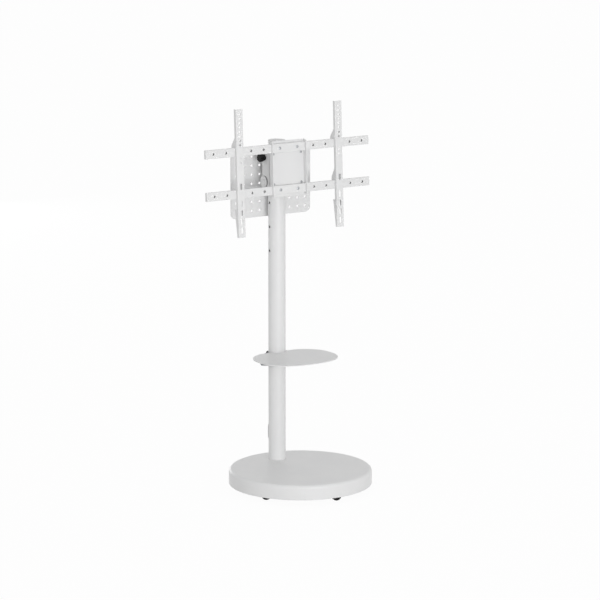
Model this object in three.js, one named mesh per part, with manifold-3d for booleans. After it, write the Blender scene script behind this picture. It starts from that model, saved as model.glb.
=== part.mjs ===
// Floor stand for a flat screen, in millimetres, +Z up.
// The origin is on the floor at the centre of the round base. The screen faces -Y.

import * as THREE from 'three';
import { mergeVertices } from 'three/addons/utils/BufferGeometryUtils.js';
import Module from 'manifold-3d';

const wasm = await Module();
wasm.setup();

// Gaps and cuts

const clearance = 0.3;
const slidingGap = 0.4;
const overrun = 2;
const roundSides = 12;
const holeSides = 8;
const smallHoleSides = 6;
const hexagonSides = 6;
const arcSteps = 3;

// Driving dimensions

const base = {
  radius: 248,
  height: 51.8,
  floorGap: 20.2,
  wall: 2,
  shoulder: 12,
  shoulderSteps: 3,
  sides: 40,
  plateInset: 14,
  plateThickness: 6,
};

const pole = {
  fromRim: 98,
  radius: 30,
  wall: 2,
  topHeight: 1200,
  sides: 24,
  stopHoleRadius: 4.5,
  stopHoleDrop: 49.2,
  stopHolePitch: 84,
  stopHoleCount: 5,
};

const cap = { thickness: 3, edgeRound: 1.2, plugLength: 15, plugWall: 3 };

const foot = {
  rim: 14,
  thickness: 6,
  spigotLength: 40,
  boltCircleRadius: 46,
  boltCount: 4,
  boltRadius: 4,
  headRadius: 6.5,
  headHeight: 5.3,
};

const grommet = {
  riseFromDrum: 96.5,
  width: 57,
  tall: 52,
  corner: 14,
  lip: 8,
  proud: 2,
  neckWall: 2,
  neckDepth: 3,
};

const caster = {
  count: 5,
  sweepGap: 7.8,
  wheelRadius: 17,
  wheelWidth: 8,
  treadRound: 2.5,
  axleRadius: 4,
  trail: 12,
  webWidth: 8,
  fenderGap: 1.2,
  fenderWall: 2,
  fenderDrop: 6,
  bossRadius: 9,
  bossBottom: 39.8,
  stemRadius: 5,
  stemLength: 16.4,
  plateRadius: 19,
  plateThickness: 3,
  trailAngles: [-12, 40, 155, 250, -33],
};

const shelf = {
  topHeight: 456.5,
  halfWidth: 148,
  halfDepth: 119,
  squareness: 2.4,
  rearForward: 9,
  rearCorner: 14,
  thickness: 3,
  sides: 36,
};

const shelfBracket = {
  sleeveWall: 3.2,
  sheet: 3,
  sideRoom: 11.4,
  frontRoom: 5.4,
  sheetBack: 8,
  back: 38,
  depth: 36.6,
  rearDrop: 12.4,
  lowChamfer: 6,
  highChamfer: 17,
};

const shelfScrew = {
  radius: 2.5,
  headRadius: 5,
  headHeight: 2.8,
  fromBracket: 17,
  offset: 30,
  tongueLength: 35,
  wallLeft: 0.8,
};

const shelfLock = {
  boltRadius: 4,
  knobRadius: 15,
  knobLength: 16,
  lobes: 6,
  lobeDepth: 2.2,
  bossLength: 7,
  bossRadius: 9,
};

const carriage = {
  topGap: 34,
  knobRise: 84,
  below: 22,
  aboveKnob: 24,
  sleeveWall: 3.6,
  sheet: 3,
  sideRoom: 13,
  cheekFront: 29,
  cheekBack: 14,
  cheekCorner: 8,
  gussetFront: 14,
  gussetBack: 12,
  playerBossRadius: 7,
  playerBossLength: 4.4,
  playerBossLow: 4,
  playerBossInset: 16,
  lockRise: 43,
  lockBossRadius: 9,
  lockBossLength: 6,
};

const pivot = {
  radius: 5,
  discRadius: 20.4,
  discThickness: 1.6,
  washerRadius: 20,
  washerThickness: 2.2,
  domeRadius: 8.5,
  domeHeight: 4.6,
  domeEaseShare: 0.8,
  domeRiseShare: 0.7,
  tailRadius: 8,
  tailHeight: 2.4,
};

const clampStud = {
  radius: 4,
  collarRadius: 8,
  collarHeight: 2.4,
  threadBeyond: 14,
  nutRadius: 7.5,
  nutHeight: 6.5,
  washerRadius: 9,
  washerThickness: 1.6,
};

const knob = {
  radius: 14,
  length: 23.4,
  lobes: 7,
  lobeDepth: 1.8,
  skirt: 5.4,
  edgeRound: 2,
  wallAtEnd: 5,
};

const heightLock = { radius: 4, headRadius: 6.5, headHeight: 7.5, socketRadius: 3, socketDepth: 4 };

const playerPlate = {
  thickness: 2,
  aboveBolt: 15,
  sideMargin: 21.95,
  topMargin: 22.7,
  bottomMargin: 23.3,
  corner: 20,
  topCorner: 8,
  pitch: 31.5,
  firstColumn: 46.05,
  columnsPerSide: 4,
  rows: 7,
  holeRadius: 4,
};

const playerBolt = { radius: 3, headRadius: 5.5, headHeight: 3.5, wallLeft: 0.8 };

const head = {
  tilt: 2.5,
  tiltBack: 5,
  tiltForward: 10,
  railFront: 80.2,
  upperRail: 121.1,
  lowerRail: -22.5,
};

const rail = {
  length: 660,
  height: 30,
  depth: 10,
  holeRadius: 4.3,
  holePitch: 50,
  firstHole: 100,
  endMargin: 20,
  screwFromEar: 8.7,
};

const railScrew = { radius: 3, headRadius: 5.2, headHeight: 2.2, beyond: 3.4 };

const frame = {
  besideBolt: 13.3,
  sheet: 2.5,
  lip: 8,
  above: 24,
  below: 25,
  chamferDeep: 13,
  chamferTall: 5,
};

const ear = {
  sheet: 3,
  tabWidth: 20,
  below: 30,
  aboveKnob: 28,
  neckRadius: 14,
  lobeReach: 14,
  lobeRim: 4.4,
  shoulderRim: 10.2,
  slotRadius: 4.5,
  slotSteps: 6,
  boltFromFace: 9,
  lowBoltDrop: 2.5,
  highBoltRise: 16.8,
};

const earBolt = { radius: 2.8, headRadius: 4.2, headHeight: 2.4, nutRadius: 5, nutHeight: 4 };

const arm = {
  offset: 200,
  width: 28,
  sheet: 2,
  beforeRail: 11,
  flange: 12,
  tongueDrop: 13,
  tongueNotch: 4,
  stepDrop: 53,
  stepDeep: 23,
  endDeep: 10,
  railGap: 0.5,
  holeRadius: 4,
  firstHoleRise: 128.9,
  holePitch: 15,
  holeCount: 12,
  slotLength: 22,
  firstSlotRise: 26.5,
  slotPitch: 30,
  slotCount: 6,
  topMargin: 16.5,
  bottomMargin: 13.2,
  tabSheet: 3,
};

const upperHook = { start: 33.5, full: 6.5, deep: 33.5 };
const lowerHook = { start: 40.7, full: 8.5, deep: 30.5 };

const armLock = { radius: 3, headRadius: 5, headHeight: 9 };

// Places that follow from the driving dimensions

const shellTop = base.floorGap + base.height;
const shellInner = base.radius - base.wall;
const poleSetback = base.radius - pole.fromRim;
const basePlateTop = shellTop - base.wall - clearance;
const basePlateBottom = basePlateTop - base.plateThickness;
const footTop = basePlateBottom - clearance;
const poleBottom = footTop + clearance;
const poleTop = pole.topHeight - cap.thickness - clearance;
const poleBore = pole.radius - pole.wall;
const grommetHeight = shellTop + grommet.riseFromDrum;
const carriageAbove = carriage.knobRise + carriage.aboveKnob;
const pivotHeight = pole.topHeight - carriage.topGap - carriageAbove;
const carriageSleeveRadius = pole.radius + slidingGap + carriage.sleeveWall;
const cheekInner = carriageSleeveRadius + carriage.sideRoom;
const cheekFace = cheekInner + carriage.sheet;
const playerBossEnd = carriageSleeveRadius + carriage.playerBossLength;
const playerFace = playerBossEnd + clearance;
const playerBossRises = [carriage.playerBossLow, carriageAbove - carriage.playerBossInset];
const earFace = cheekInner - clearance;
const earInner = earFace - ear.sheet;
const earBoltOffset = earFace + ear.boltFromFace;
const earBoltRises = [-ear.lowBoltDrop, carriage.knobRise + ear.highBoltRise];
const railBack = head.railFront - rail.depth;
const railMiddle = (head.railFront + railBack) / 2;
const railScrewOffset = earInner - rail.screwFromEar;
const webFront = railBack - clearance;
const webBack = webFront - frame.sheet;
const frameHalf = earBoltOffset + frame.besideBolt;
const armFace = head.railFront + arm.beforeRail;
const armStep = head.lowerRail - arm.stepDrop;
const firstHole = head.upperRail + arm.firstHoleRise;
const firstSlot = head.lowerRail + arm.firstSlotRise;
const armTop = firstHole + arm.topMargin;
const lastSlot = firstSlot - arm.slotPitch * (arm.slotCount - 1);
const armBottom = lastSlot - arm.slotLength / 2 - arm.bottomMargin;

// Finishes

const finishes = {
  whitePaint: { color: 0xe6e6e6, roughness: 0.45, metalness: 0 },
  innerSteel: { color: 0x8f9296, roughness: 0.5, metalness: 0.6 },
  zincSteel: { color: 0x9b9da1, roughness: 0.35, metalness: 0.8 },
  blackPlastic: { color: 0x1c1c1c, roughness: 0.5, metalness: 0 },
  blackTyre: { color: 0x141414, roughness: 0.7, metalness: 0 },
  whitePlastic: { color: 0xe0e0e0, roughness: 0.5, metalness: 0 },
};

const materials = Object.fromEntries(
  Object.entries(finishes).map(([name, finish]) => [name, new THREE.MeshStandardMaterial(finish)]),
);

// Solids and placing

function solidOf(geometry) {
  const bare = geometry.clone();
  bare.deleteAttribute('normal');
  bare.deleteAttribute('uv');
  const merged = mergeVertices(bare);
  return new wasm.Manifold(new wasm.Mesh({
    numProp: 3,
    vertProperties: new Float32Array(merged.attributes.position.array),
    triVerts: new Uint32Array(merged.index.array),
  }));
}

function geometryOf(solid) {
  const mesh = solid.getMesh();
  const geometry = new THREE.BufferGeometry();
  geometry.setAttribute('position', new THREE.BufferAttribute(mesh.vertProperties, 3));
  geometry.setIndex(new THREE.BufferAttribute(mesh.triVerts, 1));
  geometry.computeVertexNormals();
  return geometry;
}

function join(...solids) {
  return solids.reduce((whole, solid) => whole.add(solid));
}

function cut(body, ...tools) {
  return tools.reduce((whole, tool) => whole.subtract(tool), body);
}

function addPiece(parent, name, solid, material) {
  const mesh = new THREE.Mesh(geometryOf(solid), materials[material]);
  mesh.name = name;
  parent.add(mesh);
  return mesh;
}

function box(low, high) {
  const size = high.map((value, axis) => value - low[axis]);
  const geometry = new THREE.BoxGeometry(...size);
  geometry.translate(...low.map((value, axis) => value + size[axis] / 2));
  return solidOf(geometry);
}

// A round bar along X, Y or Z from one place on that axis to another.
function bar(axis, radius, from, to, across = [0, 0], sides = roundSides) {
  const geometry = new THREE.CylinderGeometry(radius, radius, Math.abs(to - from), sides);
  const middle = (from + to) / 2;
  if (axis === 'x') {
    geometry.rotateZ(Math.PI / 2);
    geometry.translate(middle, across[0], across[1]);
  } else if (axis === 'y') {
    geometry.translate(across[0], middle, across[1]);
  } else {
    geometry.rotateX(Math.PI / 2);
    geometry.translate(across[0], across[1], middle);
  }
  return solidOf(geometry);
}

// A hole that a round shaft of the given radius passes through. Its flats clear the shaft.
function bore(axis, shaftRadius, from, to, across = [0, 0], sides = holeSides) {
  const radius = (shaftRadius + clearance) / Math.cos(Math.PI / sides);
  return bar(axis, radius, from, to, across, sides);
}

// A turned solid about Z. Each profile point is [radius, height], from the axis back to the axis.
function turned(profile, sides = roundSides) {
  const points = profile.map(([radius, height]) => new THREE.Vector2(radius, height));
  const geometry = new THREE.LatheGeometry(points, sides);
  geometry.rotateX(Math.PI / 2);
  return solidOf(geometry);
}

function alongX(solid, place) {
  return solid.rotate([0, 90, 0]).translate(place);
}

function alongY(solid, place) {
  return solid.rotate([-90, 0, 0]).translate(place);
}

function mirrorX(solid) {
  return solid.mirror([1, 0, 0]);
}

function shapeOf(points) {
  return new THREE.Shape(points.map(([x, y]) => new THREE.Vector2(x, y)));
}

function extruded(shape, depth, curveSegments) {
  return new THREE.ExtrudeGeometry(shape, { depth, bevelEnabled: false, curveSegments });
}

function plateXY(shape, low, high, curveSegments) {
  const geometry = extruded(shape, high - low, curveSegments);
  geometry.translate(0, 0, low);
  return solidOf(geometry);
}

// The shape is drawn in X and Z, and its thickness runs along Y.
function plateXZ(shape, low, high, curveSegments) {
  const geometry = extruded(shape, high - low, curveSegments);
  geometry.rotateX(Math.PI / 2);
  geometry.translate(0, high, 0);
  return solidOf(geometry);
}

// The shape is drawn in Y and Z, and its thickness runs along X.
function plateYZ(shape, low, high, curveSegments) {
  const geometry = extruded(shape, high - low, curveSegments);
  geometry.rotateZ(Math.PI / 2);
  geometry.rotateY(Math.PI / 2);
  geometry.translate(low, 0, 0);
  return solidOf(geometry);
}

function roundedRectangle(left, right, bottom, top, lowCorner, highCorner = lowCorner) {
  const shape = new THREE.Shape();
  shape.moveTo(left + lowCorner, bottom);
  shape.lineTo(right - lowCorner, bottom);
  shape.absarc(right - lowCorner, bottom + lowCorner, lowCorner, -Math.PI / 2, 0);
  shape.lineTo(right, top - highCorner);
  shape.absarc(right - highCorner, top - highCorner, highCorner, 0, Math.PI / 2);
  shape.lineTo(left + highCorner, top);
  shape.absarc(left + highCorner, top - highCorner, highCorner, Math.PI / 2, Math.PI);
  shape.lineTo(left, bottom + lowCorner);
  shape.absarc(left + lowCorner, bottom + lowCorner, lowCorner, Math.PI, Math.PI * 1.5);
  return shape;
}

function addRoundHole(shape, x, y, radius) {
  const hole = new THREE.Path();
  hole.absarc(x, y, radius, 0, Math.PI * 2, true);
  shape.holes.push(hole);
}

function addSlot(shape, x, y, length, radius) {
  const reach = length / 2 - radius;
  const hole = new THREE.Path();
  hole.absarc(x, y + reach, radius, 0, Math.PI);
  hole.absarc(x, y - reach, radius, Math.PI, Math.PI * 2);
  shape.holes.push(hole);
}

function polar(radius, degrees) {
  const angle = THREE.MathUtils.degToRad(degrees);
  return [radius * Math.cos(angle), radius * Math.sin(angle)];
}

function arcPoints(centre, radius, fromDegrees, toDegrees, steps) {
  return Array.from({ length: steps + 1 }, (_, step) => {
    const [x, y] = polar(radius, fromDegrees + (toDegrees - fromDegrees) * step / steps);
    return [centre[0] + x, centre[1] + y];
  });
}

// A hand grip about Z: a ring of lobes with an eased outer edge.
function lobedGrip(grip, from, to) {
  const pointsPerLobe = 4;
  const count = grip.lobes * pointsPerLobe;
  const outline = Array.from({ length: count }, (_, index) => {
    const angle = 360 * index / count;
    const wave = (1 - Math.cos(THREE.MathUtils.degToRad(angle * grip.lobes))) / 2;
    return polar(grip.radius - grip.lobeDepth * wave, angle);
  });
  return plateXY(shapeOf(outline), from, to);
}

// Base

function baseShellSolid() {
  const flat = base.radius - base.shoulder;
  const inner = base.shoulder - base.wall;
  const bend = [flat, shellTop - base.shoulder];
  const outerArc = arcPoints(bend, base.shoulder, 90, 0, base.shoulderSteps);
  const innerArc = arcPoints(bend, inner, 0, 90, base.shoulderSteps);
  const shell = turned([
    [0, shellTop],
    ...outerArc,
    [base.radius, base.floorGap],
    [shellInner, base.floorGap],
    ...innerArc,
    [0, shellTop - base.wall],
  ].reverse(), base.sides);
  const holeRadius = pole.radius + clearance;
  const polePlace = [0, poleSetback];
  return cut(shell, bar('z', holeRadius, basePlateTop, shellTop + overrun, polePlace, pole.sides));
}

function footBoltPlace(index) {
  const [x, y] = polar(foot.boltCircleRadius, 45 + 360 * index / foot.boltCount);
  return [x, poleSetback + y];
}

function footBoltHoles(from, to) {
  return Array.from({ length: foot.boltCount }, (_, index) => (
    bore('z', foot.boltRadius, from, to, footBoltPlace(index))
  ));
}

function basePlateSolid() {
  const radius = shellInner - base.plateInset;
  const disc = bar('z', radius, basePlateBottom, basePlateTop, [0, 0], base.sides);
  const low = basePlateBottom - overrun;
  const high = basePlateTop + overrun;
  const poleHole = bar('z', pole.radius + clearance, low, high, [0, poleSetback], pole.sides);
  return cut(disc, poleHole, ...footBoltHoles(low, high));
}

function poleFootSolid() {
  const bottom = footTop - foot.thickness;
  const flangeRadius = foot.boltCircleRadius + foot.rim;
  const spigotRadius = poleBore - clearance;
  const flange = turned([
    [0, bottom],
    [flangeRadius, bottom],
    [flangeRadius, footTop],
    [spigotRadius, footTop],
    [spigotRadius, footTop + foot.spigotLength],
    [0, footTop + foot.spigotLength],
  ], pole.sides).translate([0, poleSetback, 0]);
  return cut(flange, ...footBoltHoles(bottom - overrun, footTop + overrun));
}

function footBoltSolid(index) {
  const headTop = footTop - foot.thickness - clearance;
  const place = footBoltPlace(index);
  const boltHead = bar('z', foot.headRadius, headTop - foot.headHeight, headTop, place, hexagonSides);
  const shank = bar('z', foot.boltRadius, headTop, basePlateTop - clearance, place, holeSides);
  return join(boltHead, shank);
}

// Pole

function stopHoleHeights() {
  const highest = pole.topHeight - pole.stopHoleDrop;
  return Array.from({ length: pole.stopHoleCount }, (_, index) => highest - pole.stopHolePitch * index);
}

function cableHoleShape(grow) {
  const halfWidth = grommet.width / 2 - grommet.lip + grow;
  const halfTall = grommet.tall / 2 - grommet.lip + grow;
  const corner = grommet.corner - grommet.lip + grow;
  const low = grommetHeight - halfTall;
  return roundedRectangle(-halfWidth, halfWidth, low, grommetHeight + halfTall, corner);
}

function poleTubeSolid() {
  const tube = turned([
    [poleBore, poleBottom],
    [pole.radius, poleBottom],
    [pole.radius, poleTop],
    [poleBore, poleTop],
    [poleBore, poleBottom],
  ], pole.sides);
  const reach = pole.radius + overrun;
  const stopHoles = stopHoleHeights().map((height) => (
    bar('x', pole.stopHoleRadius, -reach, reach, [0, height], holeSides)
  ));
  const cableHole = plateXZ(cableHoleShape(0), 0, reach, arcSteps);
  return cut(tube, ...stopHoles, cableHole);
}

function poleCapSolid() {
  const bottom = poleTop + clearance;
  const plugRadius = poleBore - clearance;
  return turned([
    [0, bottom - cap.plugWall],
    [plugRadius - cap.plugWall, bottom - cap.plugWall],
    [plugRadius - cap.plugWall, bottom - cap.plugLength],
    [plugRadius, bottom - cap.plugLength],
    [plugRadius, bottom],
    [pole.radius, bottom],
    [pole.radius, pole.topHeight - cap.edgeRound],
    [pole.radius - cap.edgeRound, pole.topHeight],
    [0, pole.topHeight],
  ], pole.sides);
}

// The lip follows the round of the pole, and the neck goes through its wall.
function grommetSolid() {
  const reach = pole.radius + grommet.proud + overrun;
  const halfWidth = grommet.width / 2;
  const halfTall = grommet.tall / 2;
  const lipOutline = roundedRectangle(
    -halfWidth, halfWidth, grommetHeight - halfTall, grommetHeight + halfTall, grommet.corner,
  );
  const low = grommetHeight - grommet.tall;
  const high = grommetHeight + grommet.tall;
  const seat = pole.radius + clearance;
  const lipShell = cut(
    bar('z', seat + grommet.proud, low, high, [0, 0], pole.sides),
    bar('z', seat, low - overrun, high + overrun, [0, 0], pole.sides),
  );
  const neckShell = cut(
    bar('z', seat + grommet.proud, low, high, [0, 0], pole.sides),
    bar('z', poleBore - grommet.neckDepth, low - overrun, high + overrun, [0, 0], pole.sides),
  );
  const lip = plateXZ(lipOutline, 0, reach, arcSteps).intersect(lipShell);
  const neck = plateXZ(cableHoleShape(-clearance), 0, reach, arcSteps).intersect(neckShell);
  const opening = plateXZ(cableHoleShape(-clearance - grommet.neckWall), 0, reach, arcSteps);
  return cut(join(lip, neck), opening);
}

// Casters

const hoodTop = footTop - caster.plateThickness - clearance;
const wheelInner = caster.webWidth / 2 + clearance;
const wheelOuter = wheelInner + caster.wheelWidth;
const fenderInner = caster.wheelRadius + caster.fenderGap;
const fenderOuter = fenderInner + caster.fenderWall;
const hoodSweep = Math.hypot(caster.trail + fenderOuter, wheelOuter);
const casterRadius = shellInner * Math.cos(Math.PI / base.sides) - hoodSweep - caster.sweepGap;

function casterStemSolid() {
  const plateBottom = footTop - caster.plateThickness;
  return turned([
    [0, plateBottom - caster.stemLength],
    [caster.stemRadius, plateBottom - caster.stemLength],
    [caster.stemRadius, plateBottom],
    [caster.plateRadius, plateBottom],
    [caster.plateRadius, footTop],
    [0, footTop],
  ]);
}

function halfRing(outer, inner, halfWidth, lowest) {
  const ring = cut(
    bar('y', outer, -halfWidth, halfWidth, [caster.trail, caster.wheelRadius]),
    bar('y', inner, -halfWidth - overrun, halfWidth + overrun, [caster.trail, caster.wheelRadius]),
  );
  const below = box(
    [caster.trail - outer - overrun, -halfWidth - overrun, -outer],
    [caster.trail + outer + overrun, halfWidth + overrun, lowest],
  );
  return cut(ring, below);
}

function casterHoodSolid() {
  const fender = halfRing(fenderOuter, fenderInner, wheelOuter, caster.wheelRadius + caster.fenderDrop);
  const axlePlace = [caster.trail, caster.wheelRadius];
  const web = cut(
    bar('y', fenderInner + clearance, -caster.webWidth / 2, caster.webWidth / 2, axlePlace),
    box(
      [caster.trail - fenderOuter, -caster.webWidth, -overrun],
      [caster.trail + fenderOuter, caster.webWidth, caster.wheelRadius - caster.bossRadius],
    ),
  );
  const neck = box(
    [-caster.bossRadius, -caster.webWidth / 2, caster.wheelRadius + caster.bossRadius],
    [caster.bossRadius, caster.webWidth / 2, caster.bossBottom + overrun],
  );
  const boss = bar('z', caster.bossRadius, caster.bossBottom, hoodTop);
  const boreEnds = [hoodTop - caster.stemLength, hoodTop + overrun];
  const stemBore = bore('z', caster.stemRadius, ...boreEnds, [0, 0], roundSides);
  const { axleRadius, webWidth } = caster;
  const axleBore = bore('y', axleRadius, -webWidth, webWidth, axlePlace, roundSides);
  return cut(join(fender, web, neck, boss), stemBore, axleBore);
}

function wheelPairSolid() {
  const half = [
    [caster.axleRadius, wheelInner],
    [caster.wheelRadius, wheelInner],
    [caster.wheelRadius, wheelOuter - caster.treadRound],
    [caster.wheelRadius - caster.treadRound, wheelOuter],
    [0, wheelOuter],
  ];
  const otherHalf = half.map(([radius, place]) => [radius, -place]).reverse();
  const spool = turned([...otherHalf, ...half]);
  return spool.rotate([90, 0, 0]).translate([caster.trail, 0, caster.wheelRadius]);
}

function addCasters(parent) {
  for (let index = 0; index < caster.count; index += 1) {
    const place = new THREE.Group();
    const [x, y] = polar(casterRadius, -90 + 360 * index / caster.count);
    place.position.set(x, y, 0);
    place.rotation.z = THREE.MathUtils.degToRad(caster.trailAngles[index]);
    parent.add(place);
    const name = `caster_${index + 1}`;
    addPiece(place, `${name}_stem`, casterStemSolid(), 'zincSteel');
    addPiece(place, `${name}_hood`, casterHoodSolid(), 'blackPlastic');
    addPiece(place, `${name}_wheels`, wheelPairSolid(), 'blackTyre');
  }
}

// Shelf. Heights are from the shelf's top face.

const shelfSleeveBore = pole.radius + slidingGap;
const shelfSleeveRadius = shelfSleeveBore + shelfBracket.sleeveWall;
const bracketTop = -shelf.thickness - clearance;
const bracketFront = shelfSleeveRadius + shelfBracket.frontRoom;
const bracketHalf = shelfSleeveRadius + shelfBracket.sideRoom;

// One coordinate of the oval, as a share of its half size.
function ovalShare(wave) {
  return Math.sign(wave) * Math.abs(wave) ** (2 / shelf.squareness);
}

// An oval with fuller corners than an ellipse, cut straight where it meets the pole.
function shelfOutline() {
  const shape = new THREE.Shape();
  const edge = -shelf.rearForward;
  const lift = 1 + edge / shelf.halfDepth;
  const rearAngle = Math.asin(lift ** (shelf.squareness / 2)) - shelf.rearCorner / shelf.halfWidth;
  const points = Array.from({ length: shelf.sides + 1 }, (_, index) => {
    const angle = Math.PI - rearAngle + (Math.PI + 2 * rearAngle) * index / shelf.sides;
    return [
      shelf.halfWidth * ovalShare(Math.cos(angle)),
      shelf.halfDepth * (ovalShare(Math.sin(angle)) - 1),
    ];
  });
  const [startX] = points[0];
  shape.moveTo(startX + shelf.rearCorner, edge);
  shape.quadraticCurveTo(startX + shelf.rearCorner / 2, edge, ...points[0]);
  points.slice(1).forEach(([x, y]) => shape.lineTo(x, y));
  shape.quadraticCurveTo(-startX - shelf.rearCorner / 2, edge, -startX - shelf.rearCorner, edge);
  return shape;
}

function shelfScrewPlaces() {
  return [-1, 1].map((side) => [side * shelfScrew.offset, -bracketFront - shelfScrew.fromBracket]);
}

function shelfPlateSolid() {
  const plate = plateXY(shelfOutline(), -shelf.thickness, 0, arcSteps);
  const low = -shelf.thickness - overrun;
  const notch = bar('z', shelfSleeveBore, low, overrun, [0, 0], pole.sides);
  const screwHoles = shelfScrewPlaces().map((place) => (
    bore('z', shelfScrew.radius, low, -shelfScrew.wallLeft, place, smallHoleSides)
  ));
  return cut(plate, notch, ...screwHoles);
}

function bracketCheek(side) {
  const { sheetBack, back, depth, rearDrop, lowChamfer, highChamfer, sheet } = shelfBracket;
  const lowest = bracketTop - depth - rearDrop;
  const shape = shapeOf([
    [-bracketFront, bracketTop],
    [-bracketFront, bracketTop - depth],
    [back - lowChamfer, lowest],
    [back, lowest + lowChamfer],
    [back, bracketTop - highChamfer],
    [sheetBack, bracketTop],
  ]);
  const cheek = plateYZ(shape, bracketHalf - sheet, bracketHalf);
  return side < 0 ? mirrorX(cheek) : cheek;
}

function shelfBracketSolid() {
  const { sheetBack, depth, sheet } = shelfBracket;
  const low = bracketTop - depth;
  const web = bracketTop - sheet;
  const sleeve = bar('z', shelfSleeveRadius, low, bracketTop, [0, 0], pole.sides);
  const topSheet = box([-bracketHalf, -bracketFront, web], [bracketHalf, sheetBack, bracketTop]);
  const frontCorner = [bracketHalf, -bracketFront + sheet, bracketTop];
  const frontSheet = box([-bracketHalf, -bracketFront, low], frontCorner);
  const tongueEnd = -bracketFront - shelfScrew.tongueLength;
  const tongue = box([-bracketHalf, tongueEnd, web], frontCorner);
  const bossEnd = shelfSleeveRadius + shelfLock.bossLength;
  const lockHeight = (low + bracketTop) / 2;
  const boss = bar('y', shelfLock.bossRadius, pole.radius + slidingGap, bossEnd, [0, lockHeight]);
  const high = bracketTop + overrun;
  const poleBoreCut = bar('z', shelfSleeveBore, low - overrun, high, [0, 0], pole.sides);
  const lockBore = bore('y', shelfLock.boltRadius, 0, bossEnd + overrun, [0, lockHeight]);
  const screwHoles = shelfScrewPlaces().map((place) => (
    bore('z', shelfScrew.radius, web - overrun, bracketTop + overrun, place, smallHoleSides)
  ));
  const welded = join(sleeve, topSheet, frontSheet, tongue, bracketCheek(-1), bracketCheek(1), boss);
  return cut(welded, poleBoreCut, lockBore, ...screwHoles);
}

function shelfScrewSolid(place) {
  const headTop = bracketTop - shelfBracket.sheet - clearance;
  return join(
    bar('z', shelfScrew.headRadius, headTop - shelfScrew.headHeight, headTop, place, holeSides),
    bar('z', shelfScrew.radius, headTop, -shelfScrew.wallLeft - clearance, place, smallHoleSides),
  );
}

function shelfLockSolid() {
  const tip = pole.radius + clearance;
  const gripFrom = shelfSleeveRadius + shelfLock.bossLength + clearance;
  const lockHeight = bracketTop - shelfBracket.depth / 2;
  const grip = lobedGrip(
    { radius: shelfLock.knobRadius, lobes: shelfLock.lobes, lobeDepth: shelfLock.lobeDepth },
    gripFrom, gripFrom + shelfLock.knobLength,
  );
  const thread = bar('z', shelfLock.boltRadius, tip, gripFrom, [0, 0], holeSides);
  return alongY(join(grip, thread), [0, 0, lockHeight]);
}

function addShelf(parent) {
  addPiece(parent, 'shelf_plate', shelfPlateSolid(), 'whitePaint');
  addPiece(parent, 'shelf_bracket', shelfBracketSolid(), 'innerSteel');
  shelfScrewPlaces().forEach((place, index) => {
    addPiece(parent, `shelf_screw_${index + 1}`, shelfScrewSolid(place), 'zincSteel');
  });
  addPiece(parent, 'shelf_lock_knob', shelfLockSolid(), 'blackPlastic');
}

// Height carriage. Heights are from the tilt axis.

function cheekSolid(side) {
  const shape = roundedRectangle(
    -carriage.cheekFront, carriage.cheekBack, -carriage.below, carriageAbove, carriage.cheekCorner,
  );
  const low = cheekInner - overrun;
  const high = cheekFace + overrun;
  const cheek = cut(
    plateYZ(shape, cheekInner, cheekFace, arcSteps),
    bore('x', pivot.radius, low, high, [0, 0], roundSides),
    bore('x', clampStud.radius, low, high, [0, carriage.knobRise]),
  );
  return side < 0 ? mirrorX(cheek) : cheek;
}

function gussetSolid(low) {
  return box(
    [-cheekInner - clearance, -carriage.gussetFront, low],
    [cheekInner + clearance, carriage.gussetBack, low + carriage.sheet],
  );
}

function carriageSleeveSolid() {
  const lockBossEnd = carriageSleeveRadius + carriage.lockBossLength;
  const inner = pole.radius + slidingGap;
  const playerBosses = playerBossRises.map((rise) => (
    bar('y', carriage.playerBossRadius, inner, playerBossEnd, [0, rise])
  ));
  const playerBores = playerBossRises.map((rise) => (
    bore('y', playerBolt.radius, inner + playerBolt.wallLeft, playerBossEnd + overrun, [0, rise])
  ));
  const solid = join(
    bar('z', carriageSleeveRadius, -carriage.below, carriageAbove, [0, 0], pole.sides),
    gussetSolid(-carriage.below),
    gussetSolid(carriageAbove - carriage.sheet),
    cheekSolid(-1),
    cheekSolid(1),
    bar('y', carriage.lockBossRadius, -lockBossEnd, -inner, [0, carriage.lockRise]),
    ...playerBosses,
  );
  return cut(
    solid,
    bar('z', inner, -carriage.below - overrun, carriageAbove + overrun, [0, 0], pole.sides),
    bore('y', heightLock.radius, -lockBossEnd - overrun, 0, [0, carriage.lockRise]),
    ...playerBores,
  );
}

function heightLockSolid() {
  const under = carriageSleeveRadius + carriage.lockBossLength + clearance;
  const headEnd = under + heightLock.headHeight;
  const socketEnd = -headEnd + heightLock.socketDepth;
  const place = [0, carriage.lockRise];
  return cut(
    join(
      bar('y', heightLock.radius, -under, -pole.radius - clearance, place, holeSides),
      bar('y', heightLock.headRadius, -headEnd, -under, place),
    ),
    bar('y', heightLock.socketRadius, -headEnd - overrun, socketEnd, place, hexagonSides),
  );
}

function playerPlateSolid() {
  const lastColumn = playerPlate.firstColumn + playerPlate.pitch * (playerPlate.columnsPerSide - 1);
  const half = lastColumn + playerPlate.sideMargin;
  const top = playerBossRises[1] + playerPlate.aboveBolt;
  const topRow = top - playerPlate.topMargin;
  const bottom = topRow - playerPlate.pitch * (playerPlate.rows - 1) - playerPlate.bottomMargin;
  const shape = roundedRectangle(-half, half, bottom, top, playerPlate.corner, playerPlate.topCorner);
  for (let column = 0; column < playerPlate.columnsPerSide; column += 1) {
    for (let row = 0; row < playerPlate.rows; row += 1) {
      const x = playerPlate.firstColumn + column * playerPlate.pitch;
      const height = topRow - row * playerPlate.pitch;
      addRoundHole(shape, -x, height, playerPlate.holeRadius);
      addRoundHole(shape, x, height, playerPlate.holeRadius);
    }
  }
  const back = playerFace + playerPlate.thickness;
  const plate = plateXZ(shape, playerFace, back, arcSteps);
  const boltHoles = playerBossRises.map((rise) => (
    bore('y', playerBolt.radius, playerFace - overrun, back + overrun, [0, rise])
  ));
  return cut(plate, ...boltHoles);
}

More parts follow.
